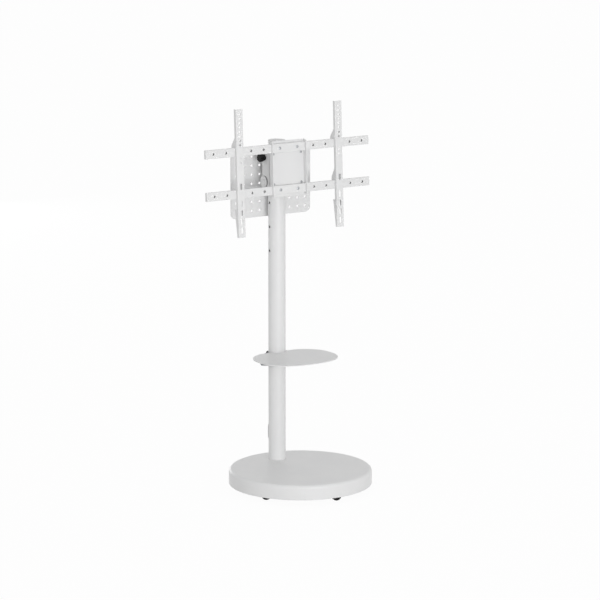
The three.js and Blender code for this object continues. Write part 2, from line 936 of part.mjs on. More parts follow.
function playerBoltSolid(rise) {
  const seat = playerFace + playerPlate.thickness + clearance;
  const tip = pole.radius + slidingGap + playerBolt.wallLeft + clearance;
  return join(
    bar('y', playerBolt.headRadius, seat, seat + playerBolt.headHeight, [0, rise], holeSides),
    bar('y', playerBolt.radius, tip, seat, [0, rise], holeSides),
  );
}

// Pieces of the tilt joint are turned about X and drawn for the right-hand side.

const shaftInner = earInner - clearance;

function pivotSolid() {
  const washerFrom = cheekFace + clearance + pivot.discThickness + clearance;
  const washerTo = washerFrom + pivot.washerThickness;
  const domeTop = washerTo + pivot.domeHeight;
  return alongX(turned([
    [0, shaftInner - pivot.tailHeight],
    [pivot.tailRadius, shaftInner - pivot.tailHeight],
    [pivot.tailRadius, shaftInner],
    [pivot.radius, shaftInner],
    [pivot.radius, washerFrom],
    [pivot.washerRadius, washerFrom],
    [pivot.washerRadius, washerTo],
    [pivot.domeRadius, washerTo],
    [pivot.domeRadius * pivot.domeEaseShare, washerTo + pivot.domeHeight * pivot.domeRiseShare],
    [0, domeTop],
  ]), [0, 0, 0]);
}

function frictionDiscSolid() {
  const from = cheekFace + clearance;
  const to = from + pivot.discThickness;
  return cut(
    bar('x', pivot.discRadius, from, to),
    bore('x', pivot.radius, from - overrun, to + overrun, [0, 0], roundSides),
  );
}

function clampStudSolid(reach) {
  return alongX(turned([
    [0, shaftInner - clampStud.collarHeight],
    [clampStud.collarRadius, shaftInner - clampStud.collarHeight],
    [clampStud.collarRadius, shaftInner],
    [clampStud.radius, shaftInner],
    [clampStud.radius, reach],
    [0, reach],
  ], holeSides), [0, 0, carriage.knobRise]);
}

function clampKnobSolid() {
  const from = cheekFace + clearance;
  const skirtEnd = from + knob.skirt;
  const to = from + knob.length;
  const grip = lobedGrip(knob, skirtEnd, to - knob.edgeRound);
  const face = bar('z', knob.radius - knob.lobeDepth - knob.edgeRound, to - knob.edgeRound, to);
  const skirt = bar('z', knob.radius - knob.lobeDepth * 2, from, skirtEnd);
  const studBore = bore('z', clampStud.radius, from - overrun, to - knob.wallAtEnd);
  return alongX(cut(join(grip, face, skirt), studBore), [0, 0, carriage.knobRise]);
}

// The fixed clamp bolt on the side without the knob: stud, washer and hexagon nut.
function clampBoltSolid() {
  const washerFrom = cheekFace + clearance;
  const washerTo = washerFrom + clampStud.washerThickness;
  const nutTo = washerTo + clampStud.nutHeight;
  const stud = clampStudSolid(nutTo + overrun);
  const place = [0, carriage.knobRise];
  return join(
    stud,
    bar('x', clampStud.washerRadius, washerFrom, washerTo, place),
    bar('x', clampStud.nutRadius, washerTo, nutTo, place, hexagonSides),
  );
}

function addCarriage(parent) {
  addPiece(parent, 'carriage_sleeve', carriageSleeveSolid(), 'whitePaint');
  addPiece(parent, 'height_lock_screw', heightLockSolid(), 'zincSteel');
  addPiece(parent, 'player_plate', playerPlateSolid(), 'whitePaint');
  playerBossRises.forEach((rise, index) => {
    addPiece(parent, `player_bolt_${index + 1}`, playerBoltSolid(rise), 'zincSteel');
  });
  addPiece(parent, 'tilt_pivot_right', pivotSolid(), 'whitePaint');
  addPiece(parent, 'tilt_pivot_left', mirrorX(pivotSolid()), 'whitePaint');
  addPiece(parent, 'friction_disc_right', frictionDiscSolid(), 'blackPlastic');
  addPiece(parent, 'friction_disc_left', mirrorX(frictionDiscSolid()), 'blackPlastic');
  const studReach = cheekFace + clampStud.threadBeyond;
  addPiece(parent, 'clamp_stud_left', mirrorX(clampStudSolid(studReach)), 'zincSteel');
  addPiece(parent, 'clamp_knob_left', mirrorX(clampKnobSolid()), 'blackPlastic');
  addPiece(parent, 'clamp_bolt_right', clampBoltSolid(), 'zincSteel');
}

// Tilting head. Places are from the tilt axis with the head upright.

function earSlot() {
  const inner = carriage.knobRise - ear.slotRadius;
  const outer = carriage.knobRise + ear.slotRadius;
  const from = 90 - head.tiltForward;
  const to = 90 + head.tiltBack;
  const points = [
    ...arcPoints([0, 0], outer, from, to, ear.slotSteps),
    ...arcPoints(polar(carriage.knobRise, to), ear.slotRadius, to, to + 180, ear.slotSteps),
    ...arcPoints([0, 0], inner, to, from, ear.slotSteps),
    ...arcPoints(polar(carriage.knobRise, from), ear.slotRadius, from + 180, from + 360, ear.slotSteps),
  ];
  const slot = shapeOf(points);
  return plateYZ(slot, earInner - overrun, earFace + overrun);
}

// How far the slot's end reaches from the line that joins the pivot and the stud.
function slotReach(degrees) {
  return carriage.knobRise * Math.sin(THREE.MathUtils.degToRad(degrees)) + ear.slotRadius;
}

function earSolid() {
  const front = -webBack + clearance;
  const top = carriage.knobRise + ear.aboveKnob;
  const shoulderTop = carriage.knobRise + ear.lobeReach;
  const lobeBottom = carriage.knobRise - ear.lobeReach;
  const lobeBack = slotReach(head.tiltForward) + ear.lobeRim;
  const shoulderFront = -slotReach(head.tiltBack) - ear.shoulderRim;
  const outline = shapeOf([
    [front, -ear.below],
    [-ear.neckRadius, -ear.neckRadius],
    ...arcPoints([0, 0], ear.neckRadius, -90, 0, ear.slotSteps),
    [ear.neckRadius, lobeBottom - ear.neckRadius],
    [lobeBack, lobeBottom],
    [lobeBack, shoulderTop],
    [shoulderFront, shoulderTop],
    [front, top],
  ]);
  const side = plateYZ(outline, earInner, earFace);
  const tab = box([earInner, front, -ear.below], [earFace + ear.tabWidth, front + ear.sheet, top]);
  const pivotHole = bore('x', pivot.radius, earInner - overrun, earFace + overrun, [0, 0], roundSides);
  const holeEnds = [front - overrun, front + ear.sheet + overrun];
  const boltHoles = earBoltRises.map((rise) => (
    bore('y', earBolt.radius, ...holeEnds, [earBoltOffset, rise], smallHoleSides)
  ));
  return cut(join(side, tab), pivotHole, earSlot(), ...boltHoles);
}

function earBoltSolid(rise) {
  const headSeat = -webFront - clearance;
  const nutSeat = -webBack + clearance + ear.sheet + clearance;
  const place = [earBoltOffset, rise];
  return join(
    bar('y', earBolt.headRadius, headSeat - earBolt.headHeight, headSeat, place, holeSides),
    bar('y', earBolt.radius, headSeat, nutSeat, place, smallHoleSides),
    bar('y', earBolt.nutRadius, nutSeat, nutSeat + earBolt.nutHeight, place, hexagonSides),
  );
}

function railWindow(centre) {
  const reach = frameHalf + overrun;
  return box(
    [-reach, -head.railFront - clearance, centre - rail.height / 2 - clearance],
    [reach, -railBack + clearance, centre + rail.height / 2 + clearance],
  );
}

function frameSide(low, high) {
  const front = -head.railFront - frame.lip;
  const top = head.upperRail + frame.above;
  const bottom = head.lowerRail - frame.below;
  const shape = shapeOf([
    [-webBack, bottom],
    [-webBack, top],
    [front + frame.chamferDeep, top],
    [front, top - frame.chamferTall],
    [front, bottom + frame.chamferTall],
    [front + frame.chamferDeep, bottom],
  ]);
  return plateYZ(shape, low, high);
}

function headFrameSolid() {
  const inner = frameHalf - frame.sheet;
  const top = head.upperRail + frame.above;
  const bottom = head.lowerRail - frame.below;
  const web = box([-frameHalf, -webFront, bottom], [frameHalf, -webBack, top]);
  const webHole = (shaftRadius, place) => (
    bore('y', shaftRadius, -webFront - overrun, -webBack + overrun, place, smallHoleSides)
  );
  const earHoles = [-1, 1].flatMap((side) => (
    earBoltRises.map((rise) => webHole(earBolt.radius, [side * earBoltOffset, rise]))
  ));
  const screwHoles = railScrewPlaces().map((place) => webHole(railScrew.radius, place));
  return cut(
    join(web, frameSide(-frameHalf, -inner), frameSide(inner, frameHalf)),
    railWindow(head.upperRail),
    railWindow(head.lowerRail),
    ...earHoles,
    ...screwHoles,
  );
}

function railScrewPlaces() {
  return [head.upperRail, head.lowerRail].flatMap((centre) => (
    [-1, 1].map((side) => [side * railScrewOffset, centre])
  ));
}

function railHoleOffsets() {
  const room = rail.length / 2 - rail.endMargin - rail.firstHole;
  const holesPerSide = Math.floor(room / rail.holePitch) + 1;
  const offsets = Array.from({ length: holesPerSide }, (_, index) => (
    rail.firstHole + rail.holePitch * index
  ));
  return offsets.flatMap((offset) => [-offset, offset]);
}

function railSolid(centre) {
  const half = rail.length / 2;
  const shape = shapeOf([
    [-half, centre - rail.height / 2],
    [half, centre - rail.height / 2],
    [half, centre + rail.height / 2],
    [-half, centre + rail.height / 2],
  ]);
  railHoleOffsets().forEach((offset) => addRoundHole(shape, offset, centre, rail.holeRadius));
  const bored = [-1, 1].map((side) => (
    bore(
      'y', railScrew.radius, -head.railFront - overrun, -railBack + overrun,
      [side * railScrewOffset, centre], smallHoleSides,
    )
  ));
  return cut(plateXZ(shape, -head.railFront, -railBack, holeSides / 2), ...bored);
}

function railScrewSolid(place) {
  const seat = -head.railFront - clearance;
  return join(
    bar('y', railScrew.headRadius, seat - railScrew.headHeight, seat, place, holeSides),
    bar('y', railScrew.radius, seat, -webBack + railScrew.beyond, place, smallHoleSides),
  );
}

function rearOf(depth) {
  return depth - armFace;
}

// One hook of an arm's side: it widens back over the rail and drops a tongue behind it.
function hookPoints(hook, centre) {
  const { deep } = hook;
  const railTop = centre + rail.height / 2 + clearance;
  const tongueFront = -railBack + arm.railGap;
  const tongueEnd = railTop - arm.tongueDrop;
  return [
    [rearOf(arm.flange), railTop + hook.start],
    [rearOf(deep), railTop + hook.full],
    [rearOf(deep), tongueEnd + arm.tongueNotch],
    [rearOf(deep) - arm.tongueNotch, tongueEnd],
    [tongueFront, tongueEnd],
    [tongueFront, railTop],
    [-head.railFront - arm.railGap, railTop],
    [-head.railFront - arm.railGap, centre - rail.height / 2 - arm.railGap],
    [rearOf(arm.flange), centre - rail.height / 2 - arm.railGap],
  ];
}

function armSideShape() {
  return shapeOf([
    [-armFace, armBottom],
    [-armFace, armTop],
    [rearOf(arm.flange), armTop],
    ...hookPoints(upperHook, head.upperRail),
    ...hookPoints(lowerHook, head.lowerRail),
    [rearOf(arm.flange), armStep],
    [rearOf(arm.stepDeep), armStep],
    [rearOf(arm.endDeep), armBottom],
  ].reverse());
}

// The heights of a column of holes. A hole that would open onto a rail is left out.
function holeHeights(highest, pitch, count, holeHalf) {
  const heights = Array.from({ length: count }, (_, index) => highest - index * pitch);
  const offRail = rail.height / 2 + holeHalf;
  return heights.filter((height) => (
    [head.upperRail, head.lowerRail].every((centre) => Math.abs(height - centre) > offRail)
  ));
}

function armSlotHeights() {
  return holeHeights(firstSlot, arm.slotPitch, arm.slotCount, arm.slotLength / 2);
}

function armFaceShape() {
  const half = arm.width / 2;
  const shape = shapeOf([[-half, armBottom], [half, armBottom], [half, armTop], [-half, armTop]]);
  holeHeights(firstHole, arm.holePitch, arm.holeCount, arm.holeRadius).forEach((height) => {
    addRoundHole(shape, 0, height, arm.holeRadius);
  });
  armSlotHeights().forEach((height) => addSlot(shape, 0, height, arm.slotLength, arm.holeRadius));
  return shape;
}

function armSolid() {
  const half = arm.width / 2;
  const inner = half - arm.sheet;
  const tab = box(
    [-half, -armFace, armStep - arm.tabSheet],
    [half, rearOf(arm.stepDeep), armStep],
  );
  const screwHole = bore(
    'z', armLock.radius, armStep - arm.tabSheet - overrun, armStep + overrun, [0, -railMiddle],
  );
  const tabCut = cut(tab, screwHole);
  const slotCuts = armSlotHeights().map((centre) => box(
    [-arm.holeRadius, -armFace - overrun, centre - arm.slotLength / 2],
    [arm.holeRadius, rearOf(arm.sheet), centre + arm.slotLength / 2],
  ));
  return join(
    plateXZ(armFaceShape(), -armFace, rearOf(arm.sheet), arcSteps),
    plateYZ(armSideShape(), -half, -inner),
    plateYZ(armSideShape(), inner, half),
    cut(tabCut, ...slotCuts),
  );
}

function armLockSolid() {
  const headTop = armStep - arm.tabSheet - clearance;
  const tip = head.lowerRail - rail.height / 2 - clearance;
  const place = [0, -railMiddle];
  return join(
    bar('z', armLock.headRadius, headTop - armLock.headHeight, headTop, place),
    bar('z', armLock.radius, headTop, tip, place, holeSides),
  );
}

function addHead(parent) {
  addPiece(parent, 'head_frame', headFrameSolid(), 'whitePaint');
  addPiece(parent, 'tilt_ear_right', earSolid(), 'whitePaint');
  addPiece(parent, 'tilt_ear_left', mirrorX(earSolid()), 'whitePaint');
  earBoltRises.forEach((rise, index) => {
    addPiece(parent, `ear_bolt_right_${index + 1}`, earBoltSolid(rise), 'zincSteel');
    addPiece(parent, `ear_bolt_left_${index + 1}`, mirrorX(earBoltSolid(rise)), 'zincSteel');
  });
  addPiece(parent, 'rail_upper', railSolid(head.upperRail), 'whitePaint');
  addPiece(parent, 'rail_lower', railSolid(head.lowerRail), 'whitePaint');
  railScrewPlaces().forEach((place, index) => {
    addPiece(parent, `rail_screw_${index + 1}`, railScrewSolid(place), 'zincSteel');
  });
  [['left', -1], ['right', 1]].forEach(([side, sign]) => {
    const place = new THREE.Group();
    place.position.x = sign * arm.offset;
    parent.add(place);
    addPiece(place, `arm_${side}`, armSolid(), 'whitePaint');
    addPiece(place, `arm_lock_screw_${side}`, armLockSolid(), 'zincSteel');
  });
}

// The whole stand

const stand = new THREE.Group();

addPiece(stand, 'base_shell', baseShellSolid(), 'whitePaint');
addPiece(stand, 'base_plate', basePlateSolid(), 'innerSteel');
addPiece(stand, 'pole_foot', poleFootSolid(), 'innerSteel');
for (let index = 0; index < foot.boltCount; index += 1) {
  addPiece(stand, `foot_bolt_${index + 1}`, footBoltSolid(index), 'zincSteel');
}
addCasters(stand);

const mast = new THREE.Group();
mast.position.y = poleSetback;
stand.add(mast);
addPiece(mast, 'pole_tube', poleTubeSolid(), 'whitePaint');
addPiece(mast, 'pole_cap', poleCapSolid(), 'whitePlastic');
addPiece(mast, 'cable_grommet', grommetSolid(), 'whitePlastic');

const shelfGroup = new THREE.Group();
shelfGroup.position.z = shelf.topHeight;
mast.add(shelfGroup);
addShelf(shelfGroup);

const carriageGroup = new THREE.Group();
carriageGroup.position.z = pivotHeight;
mast.add(carriageGroup);
addCarriage(carriageGroup);

const headGroup = new THREE.Group();
headGroup.rotation.x = -THREE.MathUtils.degToRad(head.tilt);
carriageGroup.add(headGroup);
addHead(headGroup);

export default stand;
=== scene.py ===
# Looks of the floor stand for a flat screen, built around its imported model.
# Lengths are in millimetres until a piece is placed. The frame is in metres.

from math import asin, atan2, copysign, cos, degrees, dist, pi, radians, sin, sqrt, tan
from types import SimpleNamespace as Sizes

import bmesh
import bpy
from mathutils import Matrix, Vector


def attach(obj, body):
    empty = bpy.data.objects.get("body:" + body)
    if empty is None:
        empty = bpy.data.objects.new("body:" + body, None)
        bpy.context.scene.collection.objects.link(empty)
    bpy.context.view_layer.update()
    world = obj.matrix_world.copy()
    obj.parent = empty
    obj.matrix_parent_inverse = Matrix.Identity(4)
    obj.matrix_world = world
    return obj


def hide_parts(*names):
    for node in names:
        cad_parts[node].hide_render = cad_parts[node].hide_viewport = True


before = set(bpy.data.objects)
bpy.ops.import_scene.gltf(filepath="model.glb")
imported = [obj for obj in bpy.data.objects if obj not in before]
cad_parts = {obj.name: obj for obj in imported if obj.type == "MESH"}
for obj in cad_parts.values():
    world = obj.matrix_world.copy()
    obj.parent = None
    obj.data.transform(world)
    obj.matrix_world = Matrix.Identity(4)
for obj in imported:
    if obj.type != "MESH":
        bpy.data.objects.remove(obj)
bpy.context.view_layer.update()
scene = bpy.context.scene

MM = 0.001
OVER = 2.0
GAP = 0.3
SLEEVE_GAP = 0.4

# Sides of round walls, from the pole down to small holes, and steps of a corner

POLE_SIDES = 144
FINE = 96
ROUND = 48
SMALL = 24
ARC = 6

# Sizes, as in the model

BASE = Sizes(radius=248, height=51.8, floor_gap=20.2, wall=2, shoulder=12, rim=1)
PLATE = Sizes(radius=232, thickness=6)
POLE = Sizes(
    setback=150, radius=30, wall=2, top=1200, hole=4.5, first_drop=49.2, pitch=84, holes=5,
    cable_half=20.5, cable_corner=6,
)
CAP = Sizes(thickness=3, edge=1.4, plug=15, wall=3, crown=0.5)
FOOT = Sizes(radius=60, thickness=6, spigot=40, circle=46, bolts=4, shank=4, across=6.5, head=5.3)
GROMMET = Sizes(height=168.5, width=65, tall=52, corner=14, lip=8, proud=2, wall=2, depth=3)
STEM = Sizes(radius=5, length=16.4, edge=0.8, plate=19, thickness=3)
CASTER = Sizes(
    ring=202.972, angles=(-12, 40, 155, 250, -33), wheel=17, width=8, axle=4, trail=12, web=8, gap=1.2,
    wall=2, drop=6, boss=9, boss_low=39.8,
)
SHELF = Sizes(
    height=456.5, half_width=148, half_depth=119, squareness=2.4, forward=9, corner=14, thickness=3,
)
BRACKET = Sizes(
    wall=3.2, sheet=3, side=11.4, front=5.4, sheet_back=8, back=38, depth=36.6, rear_drop=12.4,
    low_chamfer=6, high_chamfer=17, bends=(0, 3, 4, 4, 4, 0), tongue=35, tongue_corner=6,
)
SHELF_SCREW = Sizes(
    forward=17, aside=30, left=0.8, radius=2.5, head=5, height=2.8, bulge=0.9, recess=2.75,
    recess_depth=1.6, tip_edge=0,
)
SHELF_LOCK = Sizes(bolt=4, radius=15, length=16, lobes=6, dip=2.2, boss=7, boss_radius=9)
CARRIAGE = Sizes(
    drop=34, above=108, below=22, wall=3.6, sheet=3, side=13, front=29, back=14, corner=8,
    gusset_front=14, gusset_back=12, boss=7, boss_length=4.4, bore_stop=0.8,
    lock_rise=43, lock_boss=9, lock_length=6,
)
PIVOT = Sizes(
    radius=5, disc=20.4, disc_thickness=1.6, washer=20, washer_thickness=2.2, dome=8.5, dome_height=4.6,
)
KNOB = Sizes(rise=84, radius=14, length=23.4, lobes=7, dip=1.8, skirt=5.4, stud=4, stud_beyond=14, cover=5)
PLAYER = Sizes(
    rises=(4, 92), thickness=2, pitch=31.5, first=46.05, columns=4, rows=7, hole=4, side_margin=21.95,
    above_bolt=15, top_margin=22.7, low_margin=23.3, corner=20, top_corner=8,
)
HEAD = Sizes(tilt=2.5, rail_front=80.2, upper=121.1, lower=-22.5)
RAIL = Sizes(
    length=660, height=30, depth=10, wall=1.5, hole=4.3, first=100, pitch=50, count=5, edge=1.6,
    screw_inset=8.7,
)
FRAME = Sizes(half=69, sheet=2.5, lip=8, above=24, below=25, chamfer_deep=13, chamfer_tall=5, bend=3)
EAR = Sizes(
    sheet=3, tab=20, below=30, above=28, neck=14, reach=14, back=60, slot=4.5, slot_margin=4.4,
    shoulder=10.2, leans_forward=10, leans_back=5, bend=4, bolt_aside=9, rises=(-2.5, 100.8),
)
ARM = Sizes(
    offset=200, width=28, sheet=2, before=11, flange=12, deepest=40, tongue=13, notch=4, step_drop=53,
    step_deep=23, end_deep=10, gap=0.5, hole=4, hole_pitch=15, holes=12, first_hole=128.9, top_margin=16.5,
    slot=22, slot_pitch=30, slots=6, first_slot=26.5, low_margin=13.2, tab=3, bend=2.6,
)
UPPER_HOOK = Sizes(start=33.5, full=6.5, deep=33.5)
LOWER_HOOK = Sizes(start=40.7, full=8.5, deep=30.5)

# Screws and bolts: shank, head, and the recess or socket in the head

INNER_HEAD = Sizes(head=8, height=2.4)
PLAYER_BOLT = Sizes(
    radius=3, head=5.5, height=3.5, bulge=0.85, recess=3, recess_depth=1.7, tip_edge=0,
)
EAR_BOLT = Sizes(
    radius=2.8, head=4.2, height=2.4, bulge=0.8, recess=2.4, recess_depth=1.4, tip_edge=0, nut=5,
    nut_height=4,
)
RAIL_SCREW = Sizes(
    radius=3, head=5.2, height=2.2, bulge=0.8, recess=2.6, recess_depth=1.4, tip_edge=0.6, past_web=3.4,
)
HEIGHT_LOCK = Sizes(radius=4, head=6.5, height=7.5, edge=0.9, socket=3, socket_depth=4, tip_edge=0)
ARM_LOCK = Sizes(radius=3, head=5, height=9, edge=0.8, socket=2.5, socket_depth=3, tip_edge=0.6)
CLAMP_BOLT = Sizes(washer=9, washer_height=1.6, across=7.5, height=6.5)

# Places that follow from the sizes

SHELL_TOP = BASE.floor_gap + BASE.height
PLATE_TOP = SHELL_TOP - BASE.wall - GAP
PLATE_BOTTOM = PLATE_TOP - PLATE.thickness
FOOT_TOP = PLATE_BOTTOM - GAP
POLE_TOP = POLE.top - CAP.thickness - GAP
POLE_BORE = POLE.radius - POLE.wall
SLIDING = POLE.radius + SLEEVE_GAP
SHELF_SLEEVE = SLIDING + BRACKET.wall
BRACKET_TOP = -SHELF.thickness - GAP
BRACKET_LOW = BRACKET_TOP - BRACKET.depth
BRACKET_FRONT = SHELF_SLEEVE + BRACKET.front
SHELF_BOSS_END = SHELF_SLEEVE + SHELF_LOCK.boss
SHELF_LOCK_SPOT = (0, (BRACKET_LOW + BRACKET_TOP) / 2)
SHELF_SCREW_SPOTS = [(side * SHELF_SCREW.aside, -BRACKET_FRONT - SHELF_SCREW.forward) for side in (-1, 1)]
CARRIAGE_SLEEVE = SLIDING + CARRIAGE.wall
CHEEK_INNER = CARRIAGE_SLEEVE + CARRIAGE.side
CHEEK_FACE = CHEEK_INNER + CARRIAGE.sheet
PLAYER_FACE = CARRIAGE_SLEEVE + CARRIAGE.boss_length + GAP
PLAYER_SPOTS = [(0, rise) for rise in PLAYER.rises]
HEIGHT_LOCK_SPOT = (0, CARRIAGE.lock_rise)
KNOB_SPOT = (0, KNOB.rise)
EAR_FACE = CHEEK_INNER - GAP
EAR_INNER = EAR_FACE - EAR.sheet
EAR_SPOTS = [(EAR_FACE + EAR.bolt_aside, rise) for rise in EAR.rises]
RAIL_BACK = HEAD.rail_front - RAIL.depth
RAILS = (HEAD.upper, HEAD.lower)
RAIL_SCREW_ASIDE = EAR_INNER - RAIL.screw_inset
RAIL_SCREW_SPOTS = [(side * RAIL_SCREW_ASIDE, centre) for centre in RAILS for side in (-1, 1)]
WEB_FRONT = RAIL_BACK - GAP
WEB_BACK = WEB_FRONT - FRAME.sheet
ARM_FACE = HEAD.rail_front + ARM.before
ARM_STEP = HEAD.lower - ARM.step_drop
ARM_LOCK_SPOT = (0, RAIL.depth / 2 - HEAD.rail_front)
FIRST_HOLE = HEAD.upper + ARM.first_hole
FIRST_SLOT = HEAD.lower + ARM.first_slot
ARM_TOP = FIRST_HOLE + ARM.top_margin
ARM_BOTTOM = FIRST_SLOT - ARM.slot_pitch * (ARM.slots - 1) - ARM.slot / 2 - ARM.low_margin

STAND = Matrix.Identity(4)
MAST = Matrix.Translation((0, POLE.setback, 0))
ON_SHELF = MAST @ Matrix.Translation((0, 0, SHELF.height))
ON_CARRIAGE = MAST @ Matrix.Translation((0, 0, POLE.top - CARRIAGE.drop - CARRIAGE.above))
ON_HEAD = ON_CARRIAGE @ Matrix.Rotation(-radians(HEAD.tilt), 4, "X")


# Outlines

def polar(radius, angle):
    return radius * cos(radians(angle)), radius * sin(radians(angle))


def arc(centre, radius, start, end, steps=ARC):
    points = [polar(radius, start + (end - start) * step / steps) for step in range(steps + 1)]
    return [(centre[0] + x, centre[1] + y) for x, y in points]


def circle(radius, centre=(0, 0), sides=ROUND):
    return arc(centre, radius, 0, 360, sides)[:-1]


def rounded(corners, radii, steps=ARC):
    """The outline with each corner turned into an arc. A radius of 0 keeps the corner."""
    if not isinstance(radii, (list, tuple)):
        radii = [radii] * len(corners)
    outline = []
    for index, radius in enumerate(radii):
        here = Vector(corners[index])
        if not radius:
            outline.append(tuple(here))
            continue
        before = (Vector(corners[index - 1]) - here).normalized()
        after = (Vector(corners[(index + 1) % len(corners)]) - here).normalized()
        half = before.angle(after) / 2
        centre = here + (before + after).normalized() * radius / sin(half)
        start = here + before * radius / tan(half) - centre
        end = here + after * radius / tan(half) - centre
        first = degrees(atan2(start.y, start.x))
        turn = degrees(atan2(end.y, end.x)) - first
        turn = (turn + 180) % 360 - 180
        outline += arc(centre, radius, first, first + turn, steps)
    return outline


def rectangle(left, right, bottom, top):
    return [(left, bottom), (right, bottom), (right, top), (left, top)]


def slot_outline(centre, length, radius):
    x, y = centre
    reach = length / 2 - radius
    top = arc((x, y + reach), radius, 0, 180, SMALL // 2)
    return top + arc((x, y - reach), radius, 180, 360, SMALL // 2)


# Solids. Each is a mesh object in millimetres.

def add_object(name, data):
    made = bpy.data.objects.new(name, data)
    scene.collection.objects.link(made)
    return made


def solid(points, faces):
    mesh = bpy.data.meshes.new("solid")
    mesh.from_pydata(points, [], faces)
    work = bmesh.new()
    work.from_mesh(mesh)
    bmesh.ops.remove_doubles(work, verts=work.verts, dist=1e-4)
    bmesh.ops.recalc_face_normals(work, faces=work.faces)
    work.to_mesh(mesh)
    work.free()
    return add_object("solid", mesh)


def point_at(axis, u, v, along):
    """A point from its place across an axis and its place along it."""
    return {"X": (along, u, v), "Y": (u, along, v), "Z": (u, v, along)}[axis]


def ring_faces(rings, sides, closed=False):
    """Faces between rings of points that follow one another. Closed, the last ring meets the first."""
    faces = []
    for level in range(rings if closed else rings - 1):
        here, above = level * sides, (level + 1) % rings * sides
        for index in range(sides):
            following = (index + 1) % sides
            faces.append((here + index, here + following, above + following, above + index))
    return faces


def stack(points, rings, sides):
    """Rings of points as a solid with a flat face at both ends."""
    return solid(points, [range(sides), range((rings - 1) * sides, rings * sides)] + ring_faces(rings, sides))


def prism(outline, low, high, axis="Z"):
    """A closed outline drawn across an axis, extruded along it."""
    points = [point_at(axis, u, v, end) for end in (low, high) for u, v in outline]
    return stack(points, 2, len(outline))


def box(low, high):
    return prism(rectangle(low[0], high[0], low[1], high[1]), low[2], high[2])


def rod(axis, radius, low, high, across=(0, 0), sides=ROUND):
    return prism(circle(radius, across, sides), low, high, axis)


def lathe(profile, axis="Z", across=(0, 0), sides=FINE):
    """A profile of (radius, place along the axis) points, turned about an axis. It may end on the axis."""
    points = []
    for index in range(sides):
        x, y = polar(1, 360 * index / sides)
        for radius, along in profile:
            points.append(point_at(axis, across[0] + radius * x, across[1] + radius * y, along))
    faces = []
    for face in ring_faces(sides, len(profile), closed=True):
        first, second = (profile[corner % len(profile)][0] == 0 for corner in face[:2])
        if first and second:
            continue
        if first:
            face = face[:3]
        elif second:
            face = (face[0], face[1], face[3])
        faces.append(face)
    return solid(points, faces)


def bores(axis, radius, low, high, spots):
    """Small round cutting bodies, one at each spot."""
    return [rod(axis, radius, low, high, spot, SMALL) for spot in spots]


def remove(unwanted):
    mesh = unwanted.data
    bpy.data.objects.remove(unwanted)
    bpy.data.meshes.remove(mesh)


def together(solids):
    """Solids as one object, still as separate closed shells."""
    work = bmesh.new()
    for part in solids:
        work.from_mesh(part.data)
    first, *others = solids
    work.to_mesh(first.data)
    work.free()
    for part in others:
        remove(part)
    return first


def settle(piece):
    """Turns the modifiers of a piece into its mesh."""
    graph = bpy.context.evaluated_depsgraph_get()
    mesh = bpy.data.meshes.new_from_object(piece.evaluated_get(graph))
    old = piece.data
    piece.modifiers.clear()
    piece.data = mesh
    bpy.data.meshes.remove(old)


def combine(body, tools, operation):
    tool = together(tools)
    modifier = body.modifiers.new("combine", "BOOLEAN")
    modifier.operation = operation
    modifier.solver = "EXACT"
    modifier.use_self = len(tools) > 1 and operation == "UNION"
    modifier.object = tool
    settle(body)
    remove(tool)
    work = bmesh.new()
    work.from_mesh(body.data)
    bmesh.ops.remove_doubles(work, verts=work.verts, dist=2e-3)
    bmesh.ops.dissolve_degenerate(work, edges=work.edges, dist=1e-3)
    work.to_mesh(body.data)
    work.free()
    return body


def join(body, *tools):
    for tool in tools:
        combine(body, [tool], "UNION")
    return body


def cut(body, *tools):
    return combine(body, list(tools), "DIFFERENCE")


def common(body, tool):
    return combine(body, [tool], "INTERSECT")


def mirrored(part):
    part.data.transform(Matrix.Scale(-1, 4, (1, 0, 0)))
    part.data.flip_normals()
    return part


# Screws and hand grips

def hexagon(radius, low, high, axis, across):
    """A hexagon head or nut with its corners eased by a cone at both ends."""
    flat = polar(radius, 30)[0]
    head = prism(circle(radius, across, 6), low, high, axis)
    ease = (radius - flat) * 0.6
    barrel = lathe(
        [(0, low), (flat, low), (radius, low + ease), (radius, high - ease), (flat, high), (0, high)],
        axis, across, ROUND,
    )
    return common(head, barrel)


def shank_end(radius, end, edge, way=1):
    """The profile of the far end of a shank. An edge of 0 leaves it plain."""
    rim = [(radius, end - way * edge), (radius - edge, end)] if edge else [(radius, end)]
    return rim + [(0, end)]


def flat_head(size, seat, edge):
    """The profile of a flat head from its outer face to its seat."""
    end = seat - size.height
    return [(0, end), (size.head - edge, end), (size.head, end + edge), (size.head, seat)]


def socket_screw(size, axis, spot, seat, tip):
    """A flat-headed screw with a hexagon socket, from the seat of its head to its tip."""
    end = seat - size.height
    profile = flat_head(size, seat, size.edge) + [(size.radius, seat)]
    made = lathe(profile + shank_end(size.radius, tip, size.tip_edge), axis, spot, ROUND)
    return cut(made, prism(circle(size.socket, spot, 6), end - OVER, end + size.socket_depth, axis))


def cross_recess(axis, low, high, across, reach):
    arm = reach * 0.28
    corners, outline = [(-arm, -reach), (arm, -reach), (arm, -arm)], []
    for quarter in range(4):
        outline += [(across[0] + x, across[1] + y) for x, y in corners]
        corners = [(-y, x) for x, y in corners]
    return prism(outline, low, high, axis)


def cross_screw(size, axis, spot, seat, tip, way=1, shares=(0.5, 0.75, 0.92, 1)):
    """A round-headed screw with a cross recess. It goes in along its axis, or with way -1 against it."""
    end = seat - way * size.height
    profile = [(0, end)]
    for share in shares:
        rise = way * size.height * sqrt(1 - share * share * size.bulge)
        profile.append((size.head * share, seat - rise))
    profile += [(size.head, seat), (size.radius, seat)] + shank_end(size.radius, tip, size.tip_edge, way)
    made = lathe(profile[::way], axis, spot, ROUND)
    low, high = sorted((end - way * OVER, end + way * size.recess_depth))
    return cut(made, cross_recess(axis, low, high, spot, size.recess))


